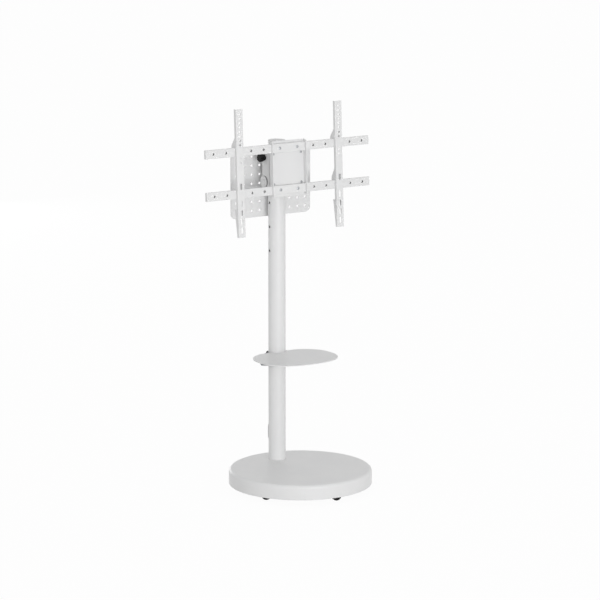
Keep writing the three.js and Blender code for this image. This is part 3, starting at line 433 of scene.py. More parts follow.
def lobed(radius, dip, lobes, levels, sides=168):
    """A hand grip about Z. Each level is (inset from the rim, share of the lobes' dip, height)."""
    points = []
    for inset, share, height in levels:
        for index in range(sides):
            angle = 360 * index / sides
            wave = (1 - cos(radians(angle * lobes))) / 2
            x, y = polar(radius - inset - dip * share * wave, angle)
            points.append((x, y, height))
    return stack(points, len(levels), sides)


def turned(part, height, angle, axis):
    """A part drawn about Z, turned onto another axis at a height."""
    part.data.transform(Matrix.Translation((0, 0, height)) @ Matrix.Rotation(radians(angle), 4, axis))
    return part


# Finishes

def feed(node, inputs):
    """Gives inputs of a node a value each, or links them to an output of another node."""
    for name, value in inputs.items():
        if isinstance(value, bpy.types.NodeSocket):
            node.id_data.links.new(value, node.inputs[name])
        else:
            node.inputs[name].default_value = value
    return node


def noise(tree, scale, detail, stretch=(1, 1, 1)):
    start = tree.nodes.new("ShaderNodeTexCoord").outputs["Object"]
    mapping = feed(tree.nodes.new("ShaderNodeMapping"), {"Scale": stretch, "Vector": start})
    texture = feed(tree.nodes.new("ShaderNodeTexNoise"), {
        "Scale": scale, "Detail": detail, "Vector": mapping.outputs["Vector"],
    })
    return texture.outputs["Fac"]


def spread(tree, source, low, high):
    """Maps the middle of a noise onto the range from low to high."""
    ramp = feed(tree.nodes.new("ShaderNodeMapRange"), {
        "From Min": 0.3, "From Max": 0.7, "To Min": low, "To Max": high, "Value": source,
    })
    return ramp.outputs["Result"]


def tint(tree, source, dark, light):
    """A colour that runs from dark to light with a noise."""
    mix = tree.nodes.new("ShaderNodeMix")
    mix.data_type = "RGBA"
    feed(mix, {"A": (*dark, 1), "B": (*light, 1), "Factor": source})
    return mix.outputs["Result"]


def bump(tree, source, depth, below=None):
    """The normal of a relief of a depth in metres, over another relief or over the plain surface."""
    relief = feed(tree.nodes.new("ShaderNodeBump"), {"Distance": depth, "Height": source})
    if below:
        feed(relief, {"Normal": below})
    return relief.outputs["Normal"]


def finish(
    name, colour, plain, cloud, dark, light, gloss, roughness, grain,
    stretch=(1, 1, 1), metallic=0.0, coat=0.0, specular=0.5,
):
    """
    A surface that varies a little about a colour and a plain roughness. Cloud and gloss are the
    (scale, detail) of the noises of its colour, from dark to light, and of its roughness, over a range.
    Grain is a list of reliefs, each (scale, detail, depth in metres).
    """
    material = bpy.data.materials.new(name)
    material.use_nodes = True
    tree = material.node_tree
    shading = feed(tree.nodes["Principled BSDF"], {
        "Base Color": (*colour, 1), "Roughness": plain, "Metallic": metallic,
        "Specular IOR Level": specular, "Coat Weight": coat, "Coat Roughness": 0.3,
    })
    normal = None
    for scale, detail, depth in grain:
        normal = bump(tree, noise(tree, scale, detail, stretch), depth, normal)
    feed(shading, {
        "Base Color": tint(tree, spread(tree, noise(tree, *cloud), 0, 1), dark, light),
        "Roughness": spread(tree, noise(tree, *gloss), *roughness),
        "Normal": normal,
    })
    return material


def white_paint():
    return finish(
        "white_powder_coat", (0.8, 0.8, 0.8), 0.42,
        coat=0.12,
        cloud=(9, 3), dark=(0.785, 0.787, 0.79), light=(0.812, 0.812, 0.811),
        gloss=(160, 3), roughness=(0.38, 0.47), grain=[(420, 1, 0.00012), (1700, 2, 0.00002)],
    )


# Grey primer of the hidden base plate and pole foot. On the shelf bracket the same dark grey also stands in
# for painted shade under the shelf.
def inner_steel():
    return finish(
        "grey_primer_and_shade", (0.28, 0.29, 0.3), 0.6,
        cloud=(30, 5), dark=(0.24, 0.25, 0.26), light=(0.31, 0.32, 0.33),
        gloss=(90, 4), roughness=(0.5, 0.7), grain=[(900, 3, 0.00008)],
    )


def zinc_steel():
    return finish(
        "dull_zinc", (0.46, 0.46, 0.48), 0.38,
        metallic=1.0,
        cloud=(350, 4), dark=(0.39, 0.40, 0.42), light=(0.53, 0.54, 0.55),
        gloss=(900, 3), roughness=(0.3, 0.46), grain=[(2600, 2, 0.00002)], stretch=(1, 1, 0.15),
    )


def black_plastic():
    return finish(
        "black_moulded", (0.006, 0.006, 0.006), 0.5,
        specular=0.2,
        cloud=(260, 3), dark=(0.005, 0.005, 0.005), light=(0.009, 0.009, 0.009),
        gloss=(700, 2), roughness=(0.42, 0.58), grain=[(2400, 2, 0.00006)],
    )


def black_tyre():
    return finish(
        "black_wheel", (0.008, 0.008, 0.008), 0.6,
        specular=0.3,
        cloud=(120, 4), dark=(0.007, 0.007, 0.007), light=(0.020, 0.019, 0.018),
        gloss=(300, 3), roughness=(0.5, 0.75), grain=[(1300, 2, 0.00005)],
    )


def white_plastic():
    return finish(
        "white_moulded", (0.76, 0.76, 0.76), 0.45,
        cloud=(40, 2), dark=(0.745, 0.747, 0.75), light=(0.77, 0.77, 0.769),
        gloss=(500, 2), roughness=(0.38, 0.5), grain=[(1500, 2, 0.00003)],
    )


FINISHES = {
    make.__name__: make()
    for make in (white_paint, inner_steel, zinc_steel, black_plastic, black_tyre, white_plastic)
}


def soften(piece, edge, segments):
    """Eases the sharp edges of a placed piece and keeps its flat faces flat in the light."""
    for face in piece.data.polygons:
        face.use_smooth = True
    if edge:
        bevel = piece.modifiers.new("edge", "BEVEL")
        bevel.width = edge * MM
        bevel.segments = segments
        bevel.limit_method = "ANGLE"
        bevel.angle_limit = radians(32)
        bevel.miter_outer = "MITER_ARC"
    normals = piece.modifiers.new("normals", "WEIGHTED_NORMAL")
    normals.keep_sharp = True
    normals.weight = 100
    settle(piece)


def keep_round(piece, radii):
    """Gives the faces on upright round walls about the pole the normals of the true round."""
    mesh = piece.data
    normals = [Vector(corner.vector) for corner in mesh.corner_normals]
    for face in mesh.polygons:
        points = [mesh.vertices[index].co for index in face.vertices]
        arms = [Vector((point.x, point.y - POLE.setback * MM, 0)) for point in points]
        for radius in radii:
            near = all(abs(arm.length - radius * MM) < 2e-5 for arm in arms)
            if near and abs(face.normal.z) < 0.02:
                for corner, arm in zip(face.loop_indices, arms):
                    normals[corner] = arm.normalized() * copysign(1, face.normal.dot(arm))
    mesh.normals_split_custom_set(normals)


def place(part, node, where, body, slot, edge=0.4, round_walls=(), segments=2):
    """Puts a solid into the frame as the finished piece that stands for its node."""
    part.name = part.data.name = f"{node}_fine"
    part.data.transform(Matrix.Scale(MM, 4) @ where)
    soften(part, edge, segments)
    if round_walls:
        keep_round(part, round_walls)
    part.data.materials.clear()
    part.data.materials.append(FINISHES[slot])
    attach(part, body)
    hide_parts(node)


# Base

def base_shell():
    radius, wall, shoulder, rim = BASE.radius, BASE.wall, BASE.shoulder, BASE.rim
    bend = (radius - shoulder, SHELL_TOP - shoulder)
    shell = lathe(
        [(0, SHELL_TOP)]
        + arc(bend, shoulder, 90, 0, 12)
        + arc((radius - rim, BASE.floor_gap + rim), rim, 0, -180, 8)
        + arc(bend, shoulder - wall, 0, 90, 12)
        + [(0, SHELL_TOP - wall)],
        sides=192,
    )
    return cut(shell, rod("Z", POLE.radius + GAP, PLATE_TOP, SHELL_TOP + OVER, (0, POLE.setback), FINE))


def foot_bolt_spots():
    return arc((0, POLE.setback), FOOT.circle, 45, 405, FOOT.bolts)[:-1]


def foot_bolt_holes(low, high):
    return bores("Z", FOOT.shank + GAP, low, high, foot_bolt_spots())


def base_plate():
    low, high = PLATE_BOTTOM - OVER, PLATE_TOP + OVER
    disc = rod("Z", PLATE.radius, PLATE_BOTTOM, PLATE_TOP, sides=160)
    pole_hole = rod("Z", POLE.radius + GAP, low, high, (0, POLE.setback), FINE)
    return cut(disc, pole_hole, *foot_bolt_holes(low, high))


def pole_foot():
    bottom, top = FOOT_TOP - FOOT.thickness, FOOT_TOP + FOOT.spigot
    spigot = POLE_BORE - GAP
    profile = [(0, bottom), (FOOT.radius, bottom), (FOOT.radius, FOOT_TOP), (spigot, FOOT_TOP)]
    flange = lathe(profile + [(spigot, top), (0, top)], across=(0, POLE.setback))
    return cut(flange, *foot_bolt_holes(bottom - OVER, FOOT_TOP + OVER))


def foot_bolt(spot):
    top = FOOT_TOP - FOOT.thickness - GAP
    head = hexagon(FOOT.across, top - FOOT.head, top, "Z", spot)
    return join(head, rod("Z", FOOT.shank, top - 1, PLATE_TOP - GAP, spot, SMALL))


# Pole

def pole_tube():
    radius = POLE.radius
    tube = lathe(
        [(POLE_BORE, PLATE_BOTTOM), (radius, PLATE_BOTTOM), (radius, POLE_TOP), (POLE_BORE, POLE_TOP)],
        sides=POLE_SIDES,
    )
    reach = radius + OVER
    highest = POLE.top - POLE.first_drop
    spots = [(0, highest - POLE.pitch * index) for index in range(POLE.holes)]
    half, tall, centre = POLE.cable_half, GROMMET.tall / 2 - GROMMET.lip, GROMMET.height
    opening = rounded(rectangle(-half, half, centre - tall, centre + tall), POLE.cable_corner)
    return cut(tube, *bores("X", POLE.hole, -reach, reach, spots), prism(opening, 0, reach, "Y"))


def pole_cap():
    bottom = POLE_TOP + GAP
    plug = POLE_BORE - GAP
    inner, ceiling, low = plug - CAP.wall, bottom - CAP.wall, bottom - CAP.plug
    radius, top, edge = POLE.radius, POLE.top, CAP.edge
    return lathe(
        [(0, ceiling), (inner, ceiling), (inner, low), (plug, low), (plug, bottom), (radius, bottom)]
        + arc((radius - edge, top - CAP.crown - edge), edge, 0, 80, 8)
        + [(radius * 0.7, top - CAP.crown * 0.35), (radius * 0.35, top - CAP.crown * 0.06), (0, top)],
    )


def divided(outline, longest=5, steps=10):
    """The outline with its long straight runs divided, so that they can follow a round wall."""
    fine = []
    for index, (u, v) in enumerate(outline):
        following = outline[(index + 1) % len(outline)]
        count = steps if dist((u, v), following) > longest else 1
        for step in range(count):
            share = step / count
            fine.append((u + (following[0] - u) * share, v + (following[1] - v) * share))
    return fine


def cable_grommet():
    """A rounded frame bent round the pole, with a neck through the pole's wall."""
    seat = POLE.radius + GAP
    half, tall = GROMMET.width / 2, GROMMET.tall / 2
    proud, neck = GROMMET.proud, GROMMET.lip + GAP
    hole = neck + GROMMET.wall
    inner_end = POLE_BORE - GROMMET.depth - seat
    section = (
        [(neck, -GAP * 2), (0, 0), (0, proud * 0.35), (proud * 0.3, proud * 0.8), (proud, proud)]
        + [(hole - proud * 0.8, proud), (hole - proud * 0.25, proud * 0.75), (hole, 0)]
        + [(hole, inner_end), (neck, inner_end)]
    )
    points = []
    for inset, height in section:
        frame_outline = rectangle(-half + inset, half - inset, -tall + inset, tall - inset)
        ring = divided(rounded(frame_outline, GROMMET.corner - inset * 0.8, 10))
        for u, v in ring:
            angle, radius = u / seat, seat + height
            points.append((radius * sin(angle), radius * cos(angle), GROMMET.height + v))
    return solid(points, ring_faces(len(section), len(ring), closed=True))


# Casters

def caster_stem():
    seat = FOOT_TOP - STEM.thickness
    low = seat - STEM.length
    return lathe(
        [(0, low), (STEM.radius - STEM.edge, low), (STEM.radius, low + STEM.edge), (STEM.radius, seat)]
        + [(STEM.plate, seat), (STEM.plate, FOOT_TOP), (0, FOOT_TOP)],
        sides=ROUND,
    )


def caster_hood():
    wheel, web, boss, low = CASTER.wheel, CASTER.web, CASTER.boss, CASTER.boss_low
    inner = wheel + CASTER.gap
    outer = inner + CASTER.wall
    half = web / 2 + GAP + CASTER.width
    rise = degrees(asin(CASTER.drop / outer))
    centre = (CASTER.trail, wheel)
    band = arc(centre, outer, rise, 180 - rise, 32) + arc(centre, inner, 180 - rise, rise, 32)
    start = -degrees(asin(boss / inner))
    middle = arc(centre, inner + GAP, start, 180 - start, 40)
    seat = FOOT_TOP - STEM.thickness - GAP
    hood = join(
        prism(band, -half, half, "Y"),
        prism(middle, -web / 2, web / 2, "Y"),
        box((-boss, -web / 2, wheel + boss), (boss, web / 2, low + OVER)),
        rod("Z", boss, low, seat),
    )
    stem_bore = rod("Z", STEM.radius + GAP, seat - STEM.length, FOOT_TOP)
    axle_bore = rod("Y", CASTER.axle + GAP, -web, web, centre)
    return cut(hood, stem_bore, axle_bore)


def wheel_pair():
    inner = CASTER.web / 2 + GAP
    outer = inner + CASTER.width
    radius, axle, edge, dish = CASTER.wheel, CASTER.axle, 3, 1.2
    half = (
        [(axle, inner), (radius - 1, inner), (radius, inner + 1)]
        + arc((radius - edge, outer - edge), edge, 0, 90)
        + [(radius * 0.78, outer), (radius * 0.74, outer - dish), (radius * 0.42, outer - dish)]
        + [(radius * 0.36, outer - 0.3), (0, outer)]
    )
    other = [(r, -along) for r, along in reversed(half)]
    return lathe(other + half, "Y", (CASTER.trail, radius), ROUND)


# Shelf. Heights are from its top face.

def oval_share(wave):
    return copysign(abs(wave) ** (2 / SHELF.squareness), wave)


def eased(start, control, end):
    """The points between start and end on a curve that is drawn towards the control point."""
    points = []
    for step in range(1, 8):
        t = step / 8
        points.append(tuple(
            (1 - t) ** 2 * a + 2 * t * (1 - t) * b + t * t * c for a, b, c in zip(start, control, end)
        ))
    return points


def shelf_outline():
    half_width, half_depth, corner = SHELF.half_width, SHELF.half_depth, SHELF.corner
    edge = -SHELF.forward
    lift = asin((1 + edge / half_depth) ** (SHELF.squareness / 2)) - corner / half_width
    steps = 144
    rim = []
    for index in range(steps + 1):
        angle = pi - lift + (pi + 2 * lift) * index / steps
        x, y = oval_share(cos(angle)), oval_share(sin(angle)) - 1
        rim.append((half_width * x, half_depth * y))
    start, end = rim[0], rim[-1]
    left, right = (start[0] + corner, edge), (end[0] - corner, edge)
    into = eased(left, (start[0] + corner / 2, edge), start)
    out = eased(end, (end[0] - corner / 2, edge), right)
    return [left] + into + rim + out + [right]


def shelf_screw_holes(low, high):
    return bores("Z", SHELF_SCREW.radius + GAP, low, high, SHELF_SCREW_SPOTS)


def pole_bore(low, high):
    """Cuts room for the pole through a sliding piece."""
    return rod("Z", SLIDING, low - OVER, high + OVER, sides=POLE_SIDES)


def shelf_plate():
    low = -SHELF.thickness
    pockets = shelf_screw_holes(low - OVER, -SHELF_SCREW.left)
    return cut(prism(shelf_outline(), low, 0), pole_bore(low, 0), *pockets)


def shelf_bracket():
    """A channel of sheet about the pole with a tongue in front, a sleeve inside and a boss at its back."""
    top, low, front, back = BRACKET_TOP, BRACKET_LOW, BRACKET_FRONT, BRACKET.back
    half = SHELF_SLEEVE + BRACKET.side
    sheet, under = BRACKET.sheet, BRACKET_TOP - BRACKET.sheet
    lowest = low - BRACKET.rear_drop
    corners = [
        (-front, top), (-front, low), (back - BRACKET.low_chamfer, lowest),
        (back, lowest + BRACKET.low_chamfer), (back, top - BRACKET.high_chamfer), (BRACKET.sheet_back, top),
    ]
    block = prism(rounded(corners, BRACKET.bends), -half, half, "X")
    inside = box((-half + sheet, -front + sheet, lowest - OVER), (half - sheet, back + OVER, under))
    behind = box((-half + sheet, BRACKET.sheet_back, under - OVER), (half - sheet, back + OVER, top + OVER))
    block = cut(cut(block, inside), behind)
    end, corner = -front - BRACKET.tongue, BRACKET.tongue_corner
    tongue = rounded(rectangle(-half, half, end, -front + sheet), [corner, corner, 0, 0])
    block = join(
        block,
        prism(tongue, under, top),
        rod("Z", SHELF_SLEEVE, low, top, sides=POLE_SIDES),
        rod("Y", SHELF_LOCK.boss_radius, SLIDING, SHELF_BOSS_END, SHELF_LOCK_SPOT),
    )
    lock_bore = rod("Y", SHELF_LOCK.bolt + GAP, 0, SHELF_BOSS_END + OVER, SHELF_LOCK_SPOT, SMALL)
    block = cut(cut(block, pole_bore(low, top)), lock_bore)
    return cut(block, *shelf_screw_holes(under - OVER, top + OVER))


def shelf_screw(spot):
    seat, tip = BRACKET_TOP - BRACKET.sheet - GAP, -SHELF_SCREW.left - GAP
    return cross_screw(SHELF_SCREW, "Z", spot, seat, tip, shares=(0.4, 0.7, 0.9, 1))


def shelf_lock():
    start = SHELF_BOSS_END + GAP
    end = start + SHELF_LOCK.length
    grip = lobed(SHELF_LOCK.radius, SHELF_LOCK.dip, SHELF_LOCK.lobes, [
        (2.2, 0.4, start), (1.0, 0.8, start + 0.6), (0, 1, start + 2), (0, 1, end - 3),
        (0.6, 0.9, end - 1.4), (1.8, 0.7, end - 0.4), (3.4, 0.4, end), (8, 0, end - 0.2),
    ])
    stud = rod("Z", SHELF_LOCK.bolt, POLE.radius + GAP, start + 1, sides=SMALL)
    return turned(join(grip, stud), SHELF_LOCK_SPOT[1], -90, "X")


# Height carriage. Heights are from the tilt axis.

def cheek():
    outline = rectangle(-CARRIAGE.front, CARRIAGE.back, -CARRIAGE.below, CARRIAGE.above)
    low, high = CHEEK_INNER - OVER, CHEEK_FACE + OVER
    return cut(
        prism(rounded(outline, CARRIAGE.corner), CHEEK_INNER, CHEEK_FACE, "X"),
        rod("X", PIVOT.radius + GAP, low, high, sides=SMALL),
        rod("X", KNOB.stud + GAP, low, high, KNOB_SPOT, SMALL),
    )


def gusset(low):
    reach = CHEEK_INNER + GAP
    front, back = -CARRIAGE.gusset_front, CARRIAGE.gusset_back
    return box((-reach, front, low), (reach, back, low + CARRIAGE.sheet))


def carriage_sleeve():
    above, below = CARRIAGE.above, CARRIAGE.below
    lock_end = CARRIAGE_SLEEVE + CARRIAGE.lock_length
    boss_end = CARRIAGE_SLEEVE + CARRIAGE.boss_length
    sleeve = rod("Z", CARRIAGE_SLEEVE, -below, above, sides=POLE_SIDES)
    bosses = [rod("Y", CARRIAGE.boss, SLIDING, boss_end, spot) for spot in PLAYER_SPOTS]
    lock_boss = rod("Y", CARRIAGE.lock_boss, -lock_end, -SLIDING, HEIGHT_LOCK_SPOT)
    gussets = [gusset(-below), gusset(above - CARRIAGE.sheet)]
    welded = join(sleeve, *gussets, cheek(), mirrored(cheek()), lock_boss, *bosses)
    welded = cut(welded, pole_bore(-below, above))
    lock_bore = rod("Y", HEIGHT_LOCK.radius + GAP, -lock_end - OVER, 0, HEIGHT_LOCK_SPOT, SMALL)
    low, high = SLIDING + CARRIAGE.bore_stop, PLAYER_FACE + OVER
    return cut(welded, lock_bore, *bores("Y", PLAYER_BOLT.radius + GAP, low, high, PLAYER_SPOTS))


def height_lock():
    seat, tip = -CARRIAGE_SLEEVE - CARRIAGE.lock_length - GAP, -POLE.radius - GAP
    return socket_screw(HEIGHT_LOCK, "Y", HEIGHT_LOCK_SPOT, seat, tip)


def player_plate():
    pitch, low, high = PLAYER.pitch, PLAYER_FACE - OVER, PLAYER_FACE + PLAYER.thickness + OVER
    half = PLAYER.first + pitch * (PLAYER.columns - 1) + PLAYER.side_margin
    top = PLAYER.rises[1] + PLAYER.above_bolt
    top_row = top - PLAYER.top_margin
    bottom = top_row - pitch * (PLAYER.rows - 1) - PLAYER.low_margin
    corners = [PLAYER.corner] * 2 + [PLAYER.top_corner] * 2
    outline = rounded(rectangle(-half, half, bottom, top), corners, 10)
    plate = prism(outline, PLAYER_FACE, PLAYER_FACE + PLAYER.thickness, "Y")
    spots = [
        (side * (PLAYER.first + column * pitch), top_row - row * pitch)
        for column in range(PLAYER.columns) for row in range(PLAYER.rows) for side in (-1, 1)
    ]
    bolts = bores("Y", PLAYER_BOLT.radius + GAP, low, high, PLAYER_SPOTS)
    return cut(plate, *bores("Y", PLAYER.hole, low, high, spots), *bolts)


def player_bolt(spot):
    seat, tip = PLAYER_FACE + PLAYER.thickness + GAP, SLIDING + CARRIAGE.bore_stop + GAP
    return cross_screw(PLAYER_BOLT, "Y", spot, seat, tip, -1)


# Tilt joint, drawn for the right-hand side

def tilt_pivot():
    inner, radius, wide = EAR_INNER - GAP, PIVOT.radius, PIVOT.washer
    washer = CHEEK_FACE + GAP + PIVOT.disc_thickness + GAP
    face = washer + PIVOT.washer_thickness
    dome = [(PIVOT.dome * x, face + PIVOT.dome_height * y) for x, y in arc((0, 0), 1, 0, 80, 8)]
    return lathe(
        flat_head(INNER_HEAD, inner, 1)
        + [(radius, inner), (radius, washer), (wide, washer), (wide, face)]
        + dome + [(0, face + PIVOT.dome_height)],
        "X", sides=ROUND,
    )


def friction_disc():
    low = CHEEK_FACE + GAP
    high, bore = low + PIVOT.disc_thickness, PIVOT.radius + GAP
    return lathe([(bore, low), (PIVOT.disc, low), (PIVOT.disc, high), (bore, high)], "X")


def clamp_stud(reach):
    inner, edge = EAR_INNER - GAP, 0.8
    head = flat_head(INNER_HEAD, inner, edge)
    return lathe(head + [(KNOB.stud, inner)] + shank_end(KNOB.stud, reach, edge), "X", KNOB_SPOT, SMALL)


def clamp_knob():
    low = CHEEK_FACE + GAP
    skirt, end = low + KNOB.skirt, low + KNOB.length
    neck_inset = 2 * KNOB.dip
    grip = lobed(KNOB.radius, KNOB.dip, KNOB.lobes, [
        (neck_inset, 0, low), (neck_inset, 0, skirt - 0.4), (1.6, 0.6, skirt), (0.5, 0.9, skirt + 0.7),
        (0, 1, skirt + 2), (0, 1, end - 3.2), (0.4, 1, end - 1.8), (1.5, 0.8, end - 0.6),
        (3.0, 0.4, end), (5.0, 0, end), (5.6, 0, end - 0.7), (8, 0, end - 0.7),
    ])
    knob = cut(grip, rod("Z", KNOB.stud + GAP, low - OVER, end - KNOB.cover, sides=SMALL))
    return turned(knob, KNOB.rise, 90, "Y")


def clamp_bolt():
    washer = CHEEK_FACE + GAP
    face = washer + CLAMP_BOLT.washer_height
    end = face + CLAMP_BOLT.height
    return join(
        clamp_stud(end + OVER),
        rod("X", CLAMP_BOLT.washer, washer, face, KNOB_SPOT),
        hexagon(CLAMP_BOLT.across, face - 0.1, end, "X", KNOB_SPOT),
    )


# Tilting head. Places are from the tilt axis with the head upright.

def slot_reach(lean):
    return polar(KNOB.rise, lean)[1] + EAR.slot


def tilt_ear():
    front, low, top = -WEB_BACK + GAP, -EAR.below, KNOB.rise + EAR.above
    sheet, neck = EAR.sheet, EAR.neck
    outer = EAR_FACE + EAR.tab
    section = [
        (EAR_INNER, front), (outer, front), (outer, front + sheet), (EAR_FACE, front + sheet),
        (EAR_FACE, EAR.back), (EAR_INNER, EAR.back),
    ]
    angle = prism(rounded(section, [EAR.bend, 0, 0, 1, 0, 0]), low, top)
    lobe_back = slot_reach(EAR.leans_forward) + EAR.slot_margin
    shoulder = -slot_reach(EAR.leans_back) - EAR.shoulder
    low_neck, high = KNOB.rise - EAR.reach, KNOB.rise + EAR.reach
    outline = (
        [(front - 1, low), (-neck, -neck)]
        + arc((0, 0), neck, -90, 0, 10)
        + [(neck, low_neck - neck), (lobe_back, low_neck), (lobe_back, high)]
        + [(shoulder, high), (front, top), (front - 1, top)]
    )
    inner_side, outer_side = EAR_INNER - OVER, EAR_FACE + OVER
    ear = common(angle, prism(outline, inner_side, outer + OVER, "X"))
    start, end = 90 - EAR.leans_forward, 90 + EAR.leans_back
    slot = (
        arc((0, 0), KNOB.rise + EAR.slot, start, end)
        + arc(polar(KNOB.rise, end), EAR.slot, end, end + 180, 12)[1:-1]
        + arc((0, 0), KNOB.rise - EAR.slot, end, start)
        + arc(polar(KNOB.rise, start), EAR.slot, start + 180, start + 360, 12)[1:-1]
    )
    pivot_hole = rod("X", PIVOT.radius + GAP, inner_side, outer_side, sides=SMALL)
    holes = bores("Y", EAR_BOLT.radius + GAP, front - OVER, front + sheet + OVER, EAR_SPOTS)
    return cut(ear, prism(slot, inner_side, outer_side, "X"), pivot_hole, *holes)


def ear_bolt(spot):
    nut = -WEB_BACK + GAP + EAR.sheet + GAP
    made = cross_screw(EAR_BOLT, "Y", spot, -WEB_FRONT - GAP, nut + 1)
    return join(made, hexagon(EAR_BOLT.nut, nut, nut + EAR_BOLT.nut_height, "Y", spot))


def head_frame():
    half, sheet, bend = FRAME.half, FRAME.sheet, FRAME.bend
    front, reach = -HEAD.rail_front - FRAME.lip, FRAME.half + OVER
    top, bottom = HEAD.upper + FRAME.above, HEAD.lower - FRAME.below
    section = [
        (-half, front), (-half + sheet, front), (-half + sheet, -WEB_FRONT), (half - sheet, -WEB_FRONT),
        (half - sheet, front), (half, front), (half, -WEB_BACK), (-half, -WEB_BACK),
    ]
    channel = prism(rounded(section, [0, 0, bend - sheet, bend - sheet, 0, 0, bend, bend]), bottom, top)
    behind, chamfer, tall = -WEB_BACK + OVER, front + FRAME.chamfer_deep, FRAME.chamfer_tall
    outline = [
        (behind, bottom), (behind, top), (chamfer, top), (front, top - tall),
        (front, bottom + tall), (chamfer, bottom),
    ]
    channel = common(channel, prism(rounded(outline, [0, 0, 3, 3, 3, 3]), -reach, reach, "X"))
    low, high, tall = -HEAD.rail_front - GAP, -RAIL_BACK + GAP, RAIL.height / 2 + GAP
    windows = [box((-reach, low, centre - tall), (reach, high, centre + tall)) for centre in RAILS]
    low, high = -WEB_FRONT - 1, -WEB_BACK + OVER
    ear_spots = [(side * aside, rise) for side in (-1, 1) for aside, rise in EAR_SPOTS]
    holes = bores("Y", EAR_BOLT.radius + GAP, low, high, ear_spots)
    holes += bores("Y", RAIL_SCREW.radius + GAP, low, high, RAIL_SCREW_SPOTS)
    return cut(cut(channel, *windows), *holes)


def rail(centre):
    """A flat tube, closed at its ends, with holes through both walls."""
    half, tall, wall, edge = RAIL.length / 2, RAIL.height / 2, RAIL.wall, RAIL.edge
    front, back, bottom, top = -HEAD.rail_front, -RAIL_BACK, centre - tall, centre + tall
    outer = rounded(rectangle(front, back, bottom, top), edge)
    inner = rounded(rectangle(front + wall, back - wall, bottom + wall, top - wall), edge / 2)
    tube = cut(prism(outer, -half, half, "X"), prism(inner, -half + wall, half - wall, "X"))
    offsets = [RAIL.first + RAIL.pitch * index for index in range(RAIL.count)]
    spots = [(side * offset, centre) for offset in offsets for side in (-1, 1)]
    screws = [(side * RAIL_SCREW_ASIDE, centre) for side in (-1, 1)]
    low, high = front - OVER, back + OVER
    holes = bores("Y", RAIL.hole, low, high, spots)
    return cut(tube, *holes, *bores("Y", RAIL_SCREW.radius + GAP, low, high, screws))


def rail_screw(spot):
    return cross_screw(RAIL_SCREW, "Y", spot, -HEAD.rail_front - GAP, RAIL_SCREW.past_web - WEB_BACK)


def rear_of(depth):
    return depth - ARM_FACE


def hook_points(hook, centre):
    """The hook of an arm over a rail, from its slope down to below the rail."""
    deep, flange, notch = rear_of(hook.deep), rear_of(ARM.flange), ARM.notch
    top, under = centre + RAIL.height / 2 + GAP, centre - RAIL.height / 2 - ARM.gap
    tongue_front, tongue_end = -RAIL_BACK + ARM.gap, top - ARM.tongue
    before = -HEAD.rail_front - ARM.gap
    return [
        (flange, top + hook.start), (deep, top + hook.full), (deep, tongue_end + notch),
        (deep - notch, tongue_end), (tongue_front, tongue_end), (tongue_front, top), (before, top),
        (before, under), (flange, under),
    ]


def arm_spots(highest, pitch, count, half):
    """A column of holes or slots. Those that would open onto a rail are left out."""
    clear = RAIL.height / 2 + half
    heights = [highest - index * pitch for index in range(count)]
    return [(0, height) for height in heights if min(abs(height - centre) for centre in RAILS) > clear]


def arm():
    half, sheet, bend, flange = ARM.width / 2, ARM.sheet, ARM.bend, rear_of(ARM.flange)
    deep, web, step = rear_of(ARM.deepest), rear_of(ARM.sheet), rear_of(ARM.step_deep)
    section = [
        (-half, -ARM_FACE), (half, -ARM_FACE), (half, deep), (half - sheet, deep),
        (half - sheet, web), (-half + sheet, web), (-half + sheet, deep), (-half, deep),
    ]
    inner = bend - sheet
    channel = prism(rounded(section, [bend, bend, 0, 0, inner, inner, 0, 0]), ARM_BOTTOM, ARM_TOP)
    outline = (
        [(-ARM_FACE - 1, ARM_BOTTOM), (-ARM_FACE - 1, ARM_TOP), (flange, ARM_TOP)]
        + hook_points(UPPER_HOOK, HEAD.upper)
        + hook_points(LOWER_HOOK, HEAD.lower)
        + [(flange, ARM_STEP), (step, ARM_STEP), (rear_of(ARM.end_deep), ARM_BOTTOM)]
    )
    channel = common(channel, prism(outline, -half - OVER, half + OVER, "X"))
    tab_low = ARM_STEP - ARM.tab
    channel = join(channel, box((-half + 1, rear_of(1), tab_low), (half - 1, step, ARM_STEP)))
    low, high = -ARM_FACE - OVER, web + 1
    spots = arm_spots(FIRST_HOLE, ARM.hole_pitch, ARM.holes, ARM.hole)
    slots = arm_spots(FIRST_SLOT, ARM.slot_pitch, ARM.slots, ARM.slot / 2)
    holes = bores("Y", ARM.hole, low, high, spots)
    holes += [prism(slot_outline(spot, ARM.slot, ARM.hole), low, high, "Y") for spot in slots]
    lock = rod("Z", ARM_LOCK.radius + GAP, tab_low - OVER, ARM_STEP + OVER, ARM_LOCK_SPOT, SMALL)
    return cut(channel, *holes, lock)


def arm_lock():
    seat, tip = ARM_STEP - ARM.tab - GAP, HEAD.lower - RAIL.height / 2 - GAP
    return socket_screw(ARM_LOCK, "Z", ARM_LOCK_SPOT, seat, tip)


# Placing the pieces

def place_row(make, spots, node, *how):
    """A numbered piece at each spot."""
    for number, spot in enumerate(spots, 1):
        place(make(spot), f"{node}_{number}", *how)


def place_pair(make, node, *how):
    """A right-hand piece and its mirror image on the left. The node's name has {} for the side."""
    place(make(), node.format("right"), *how)
    place(mirrored(make()), node.format("left"), *how)


def add_base():
    place(base_shell(), "base_shell", STAND, "stand", "white_paint", 0)
    place(base_plate(), "base_plate", STAND, "stand", "inner_steel", 0.6)
    place(pole_foot(), "pole_foot", STAND, "stand", "inner_steel", 0.8)
    place_row(foot_bolt, foot_bolt_spots(), "foot_bolt", STAND, "stand", "zinc_steel", 0.2)


def add_pole():
    walls = (POLE_BORE, POLE.radius)
    place(pole_tube(), "pole_tube", MAST, "stand", "white_paint", 0, walls)
    place(pole_cap(), "pole_cap", MAST, "stand", "white_plastic", 0)
    place(cable_grommet(), "cable_grommet", MAST, "stand", "white_plastic", 0)


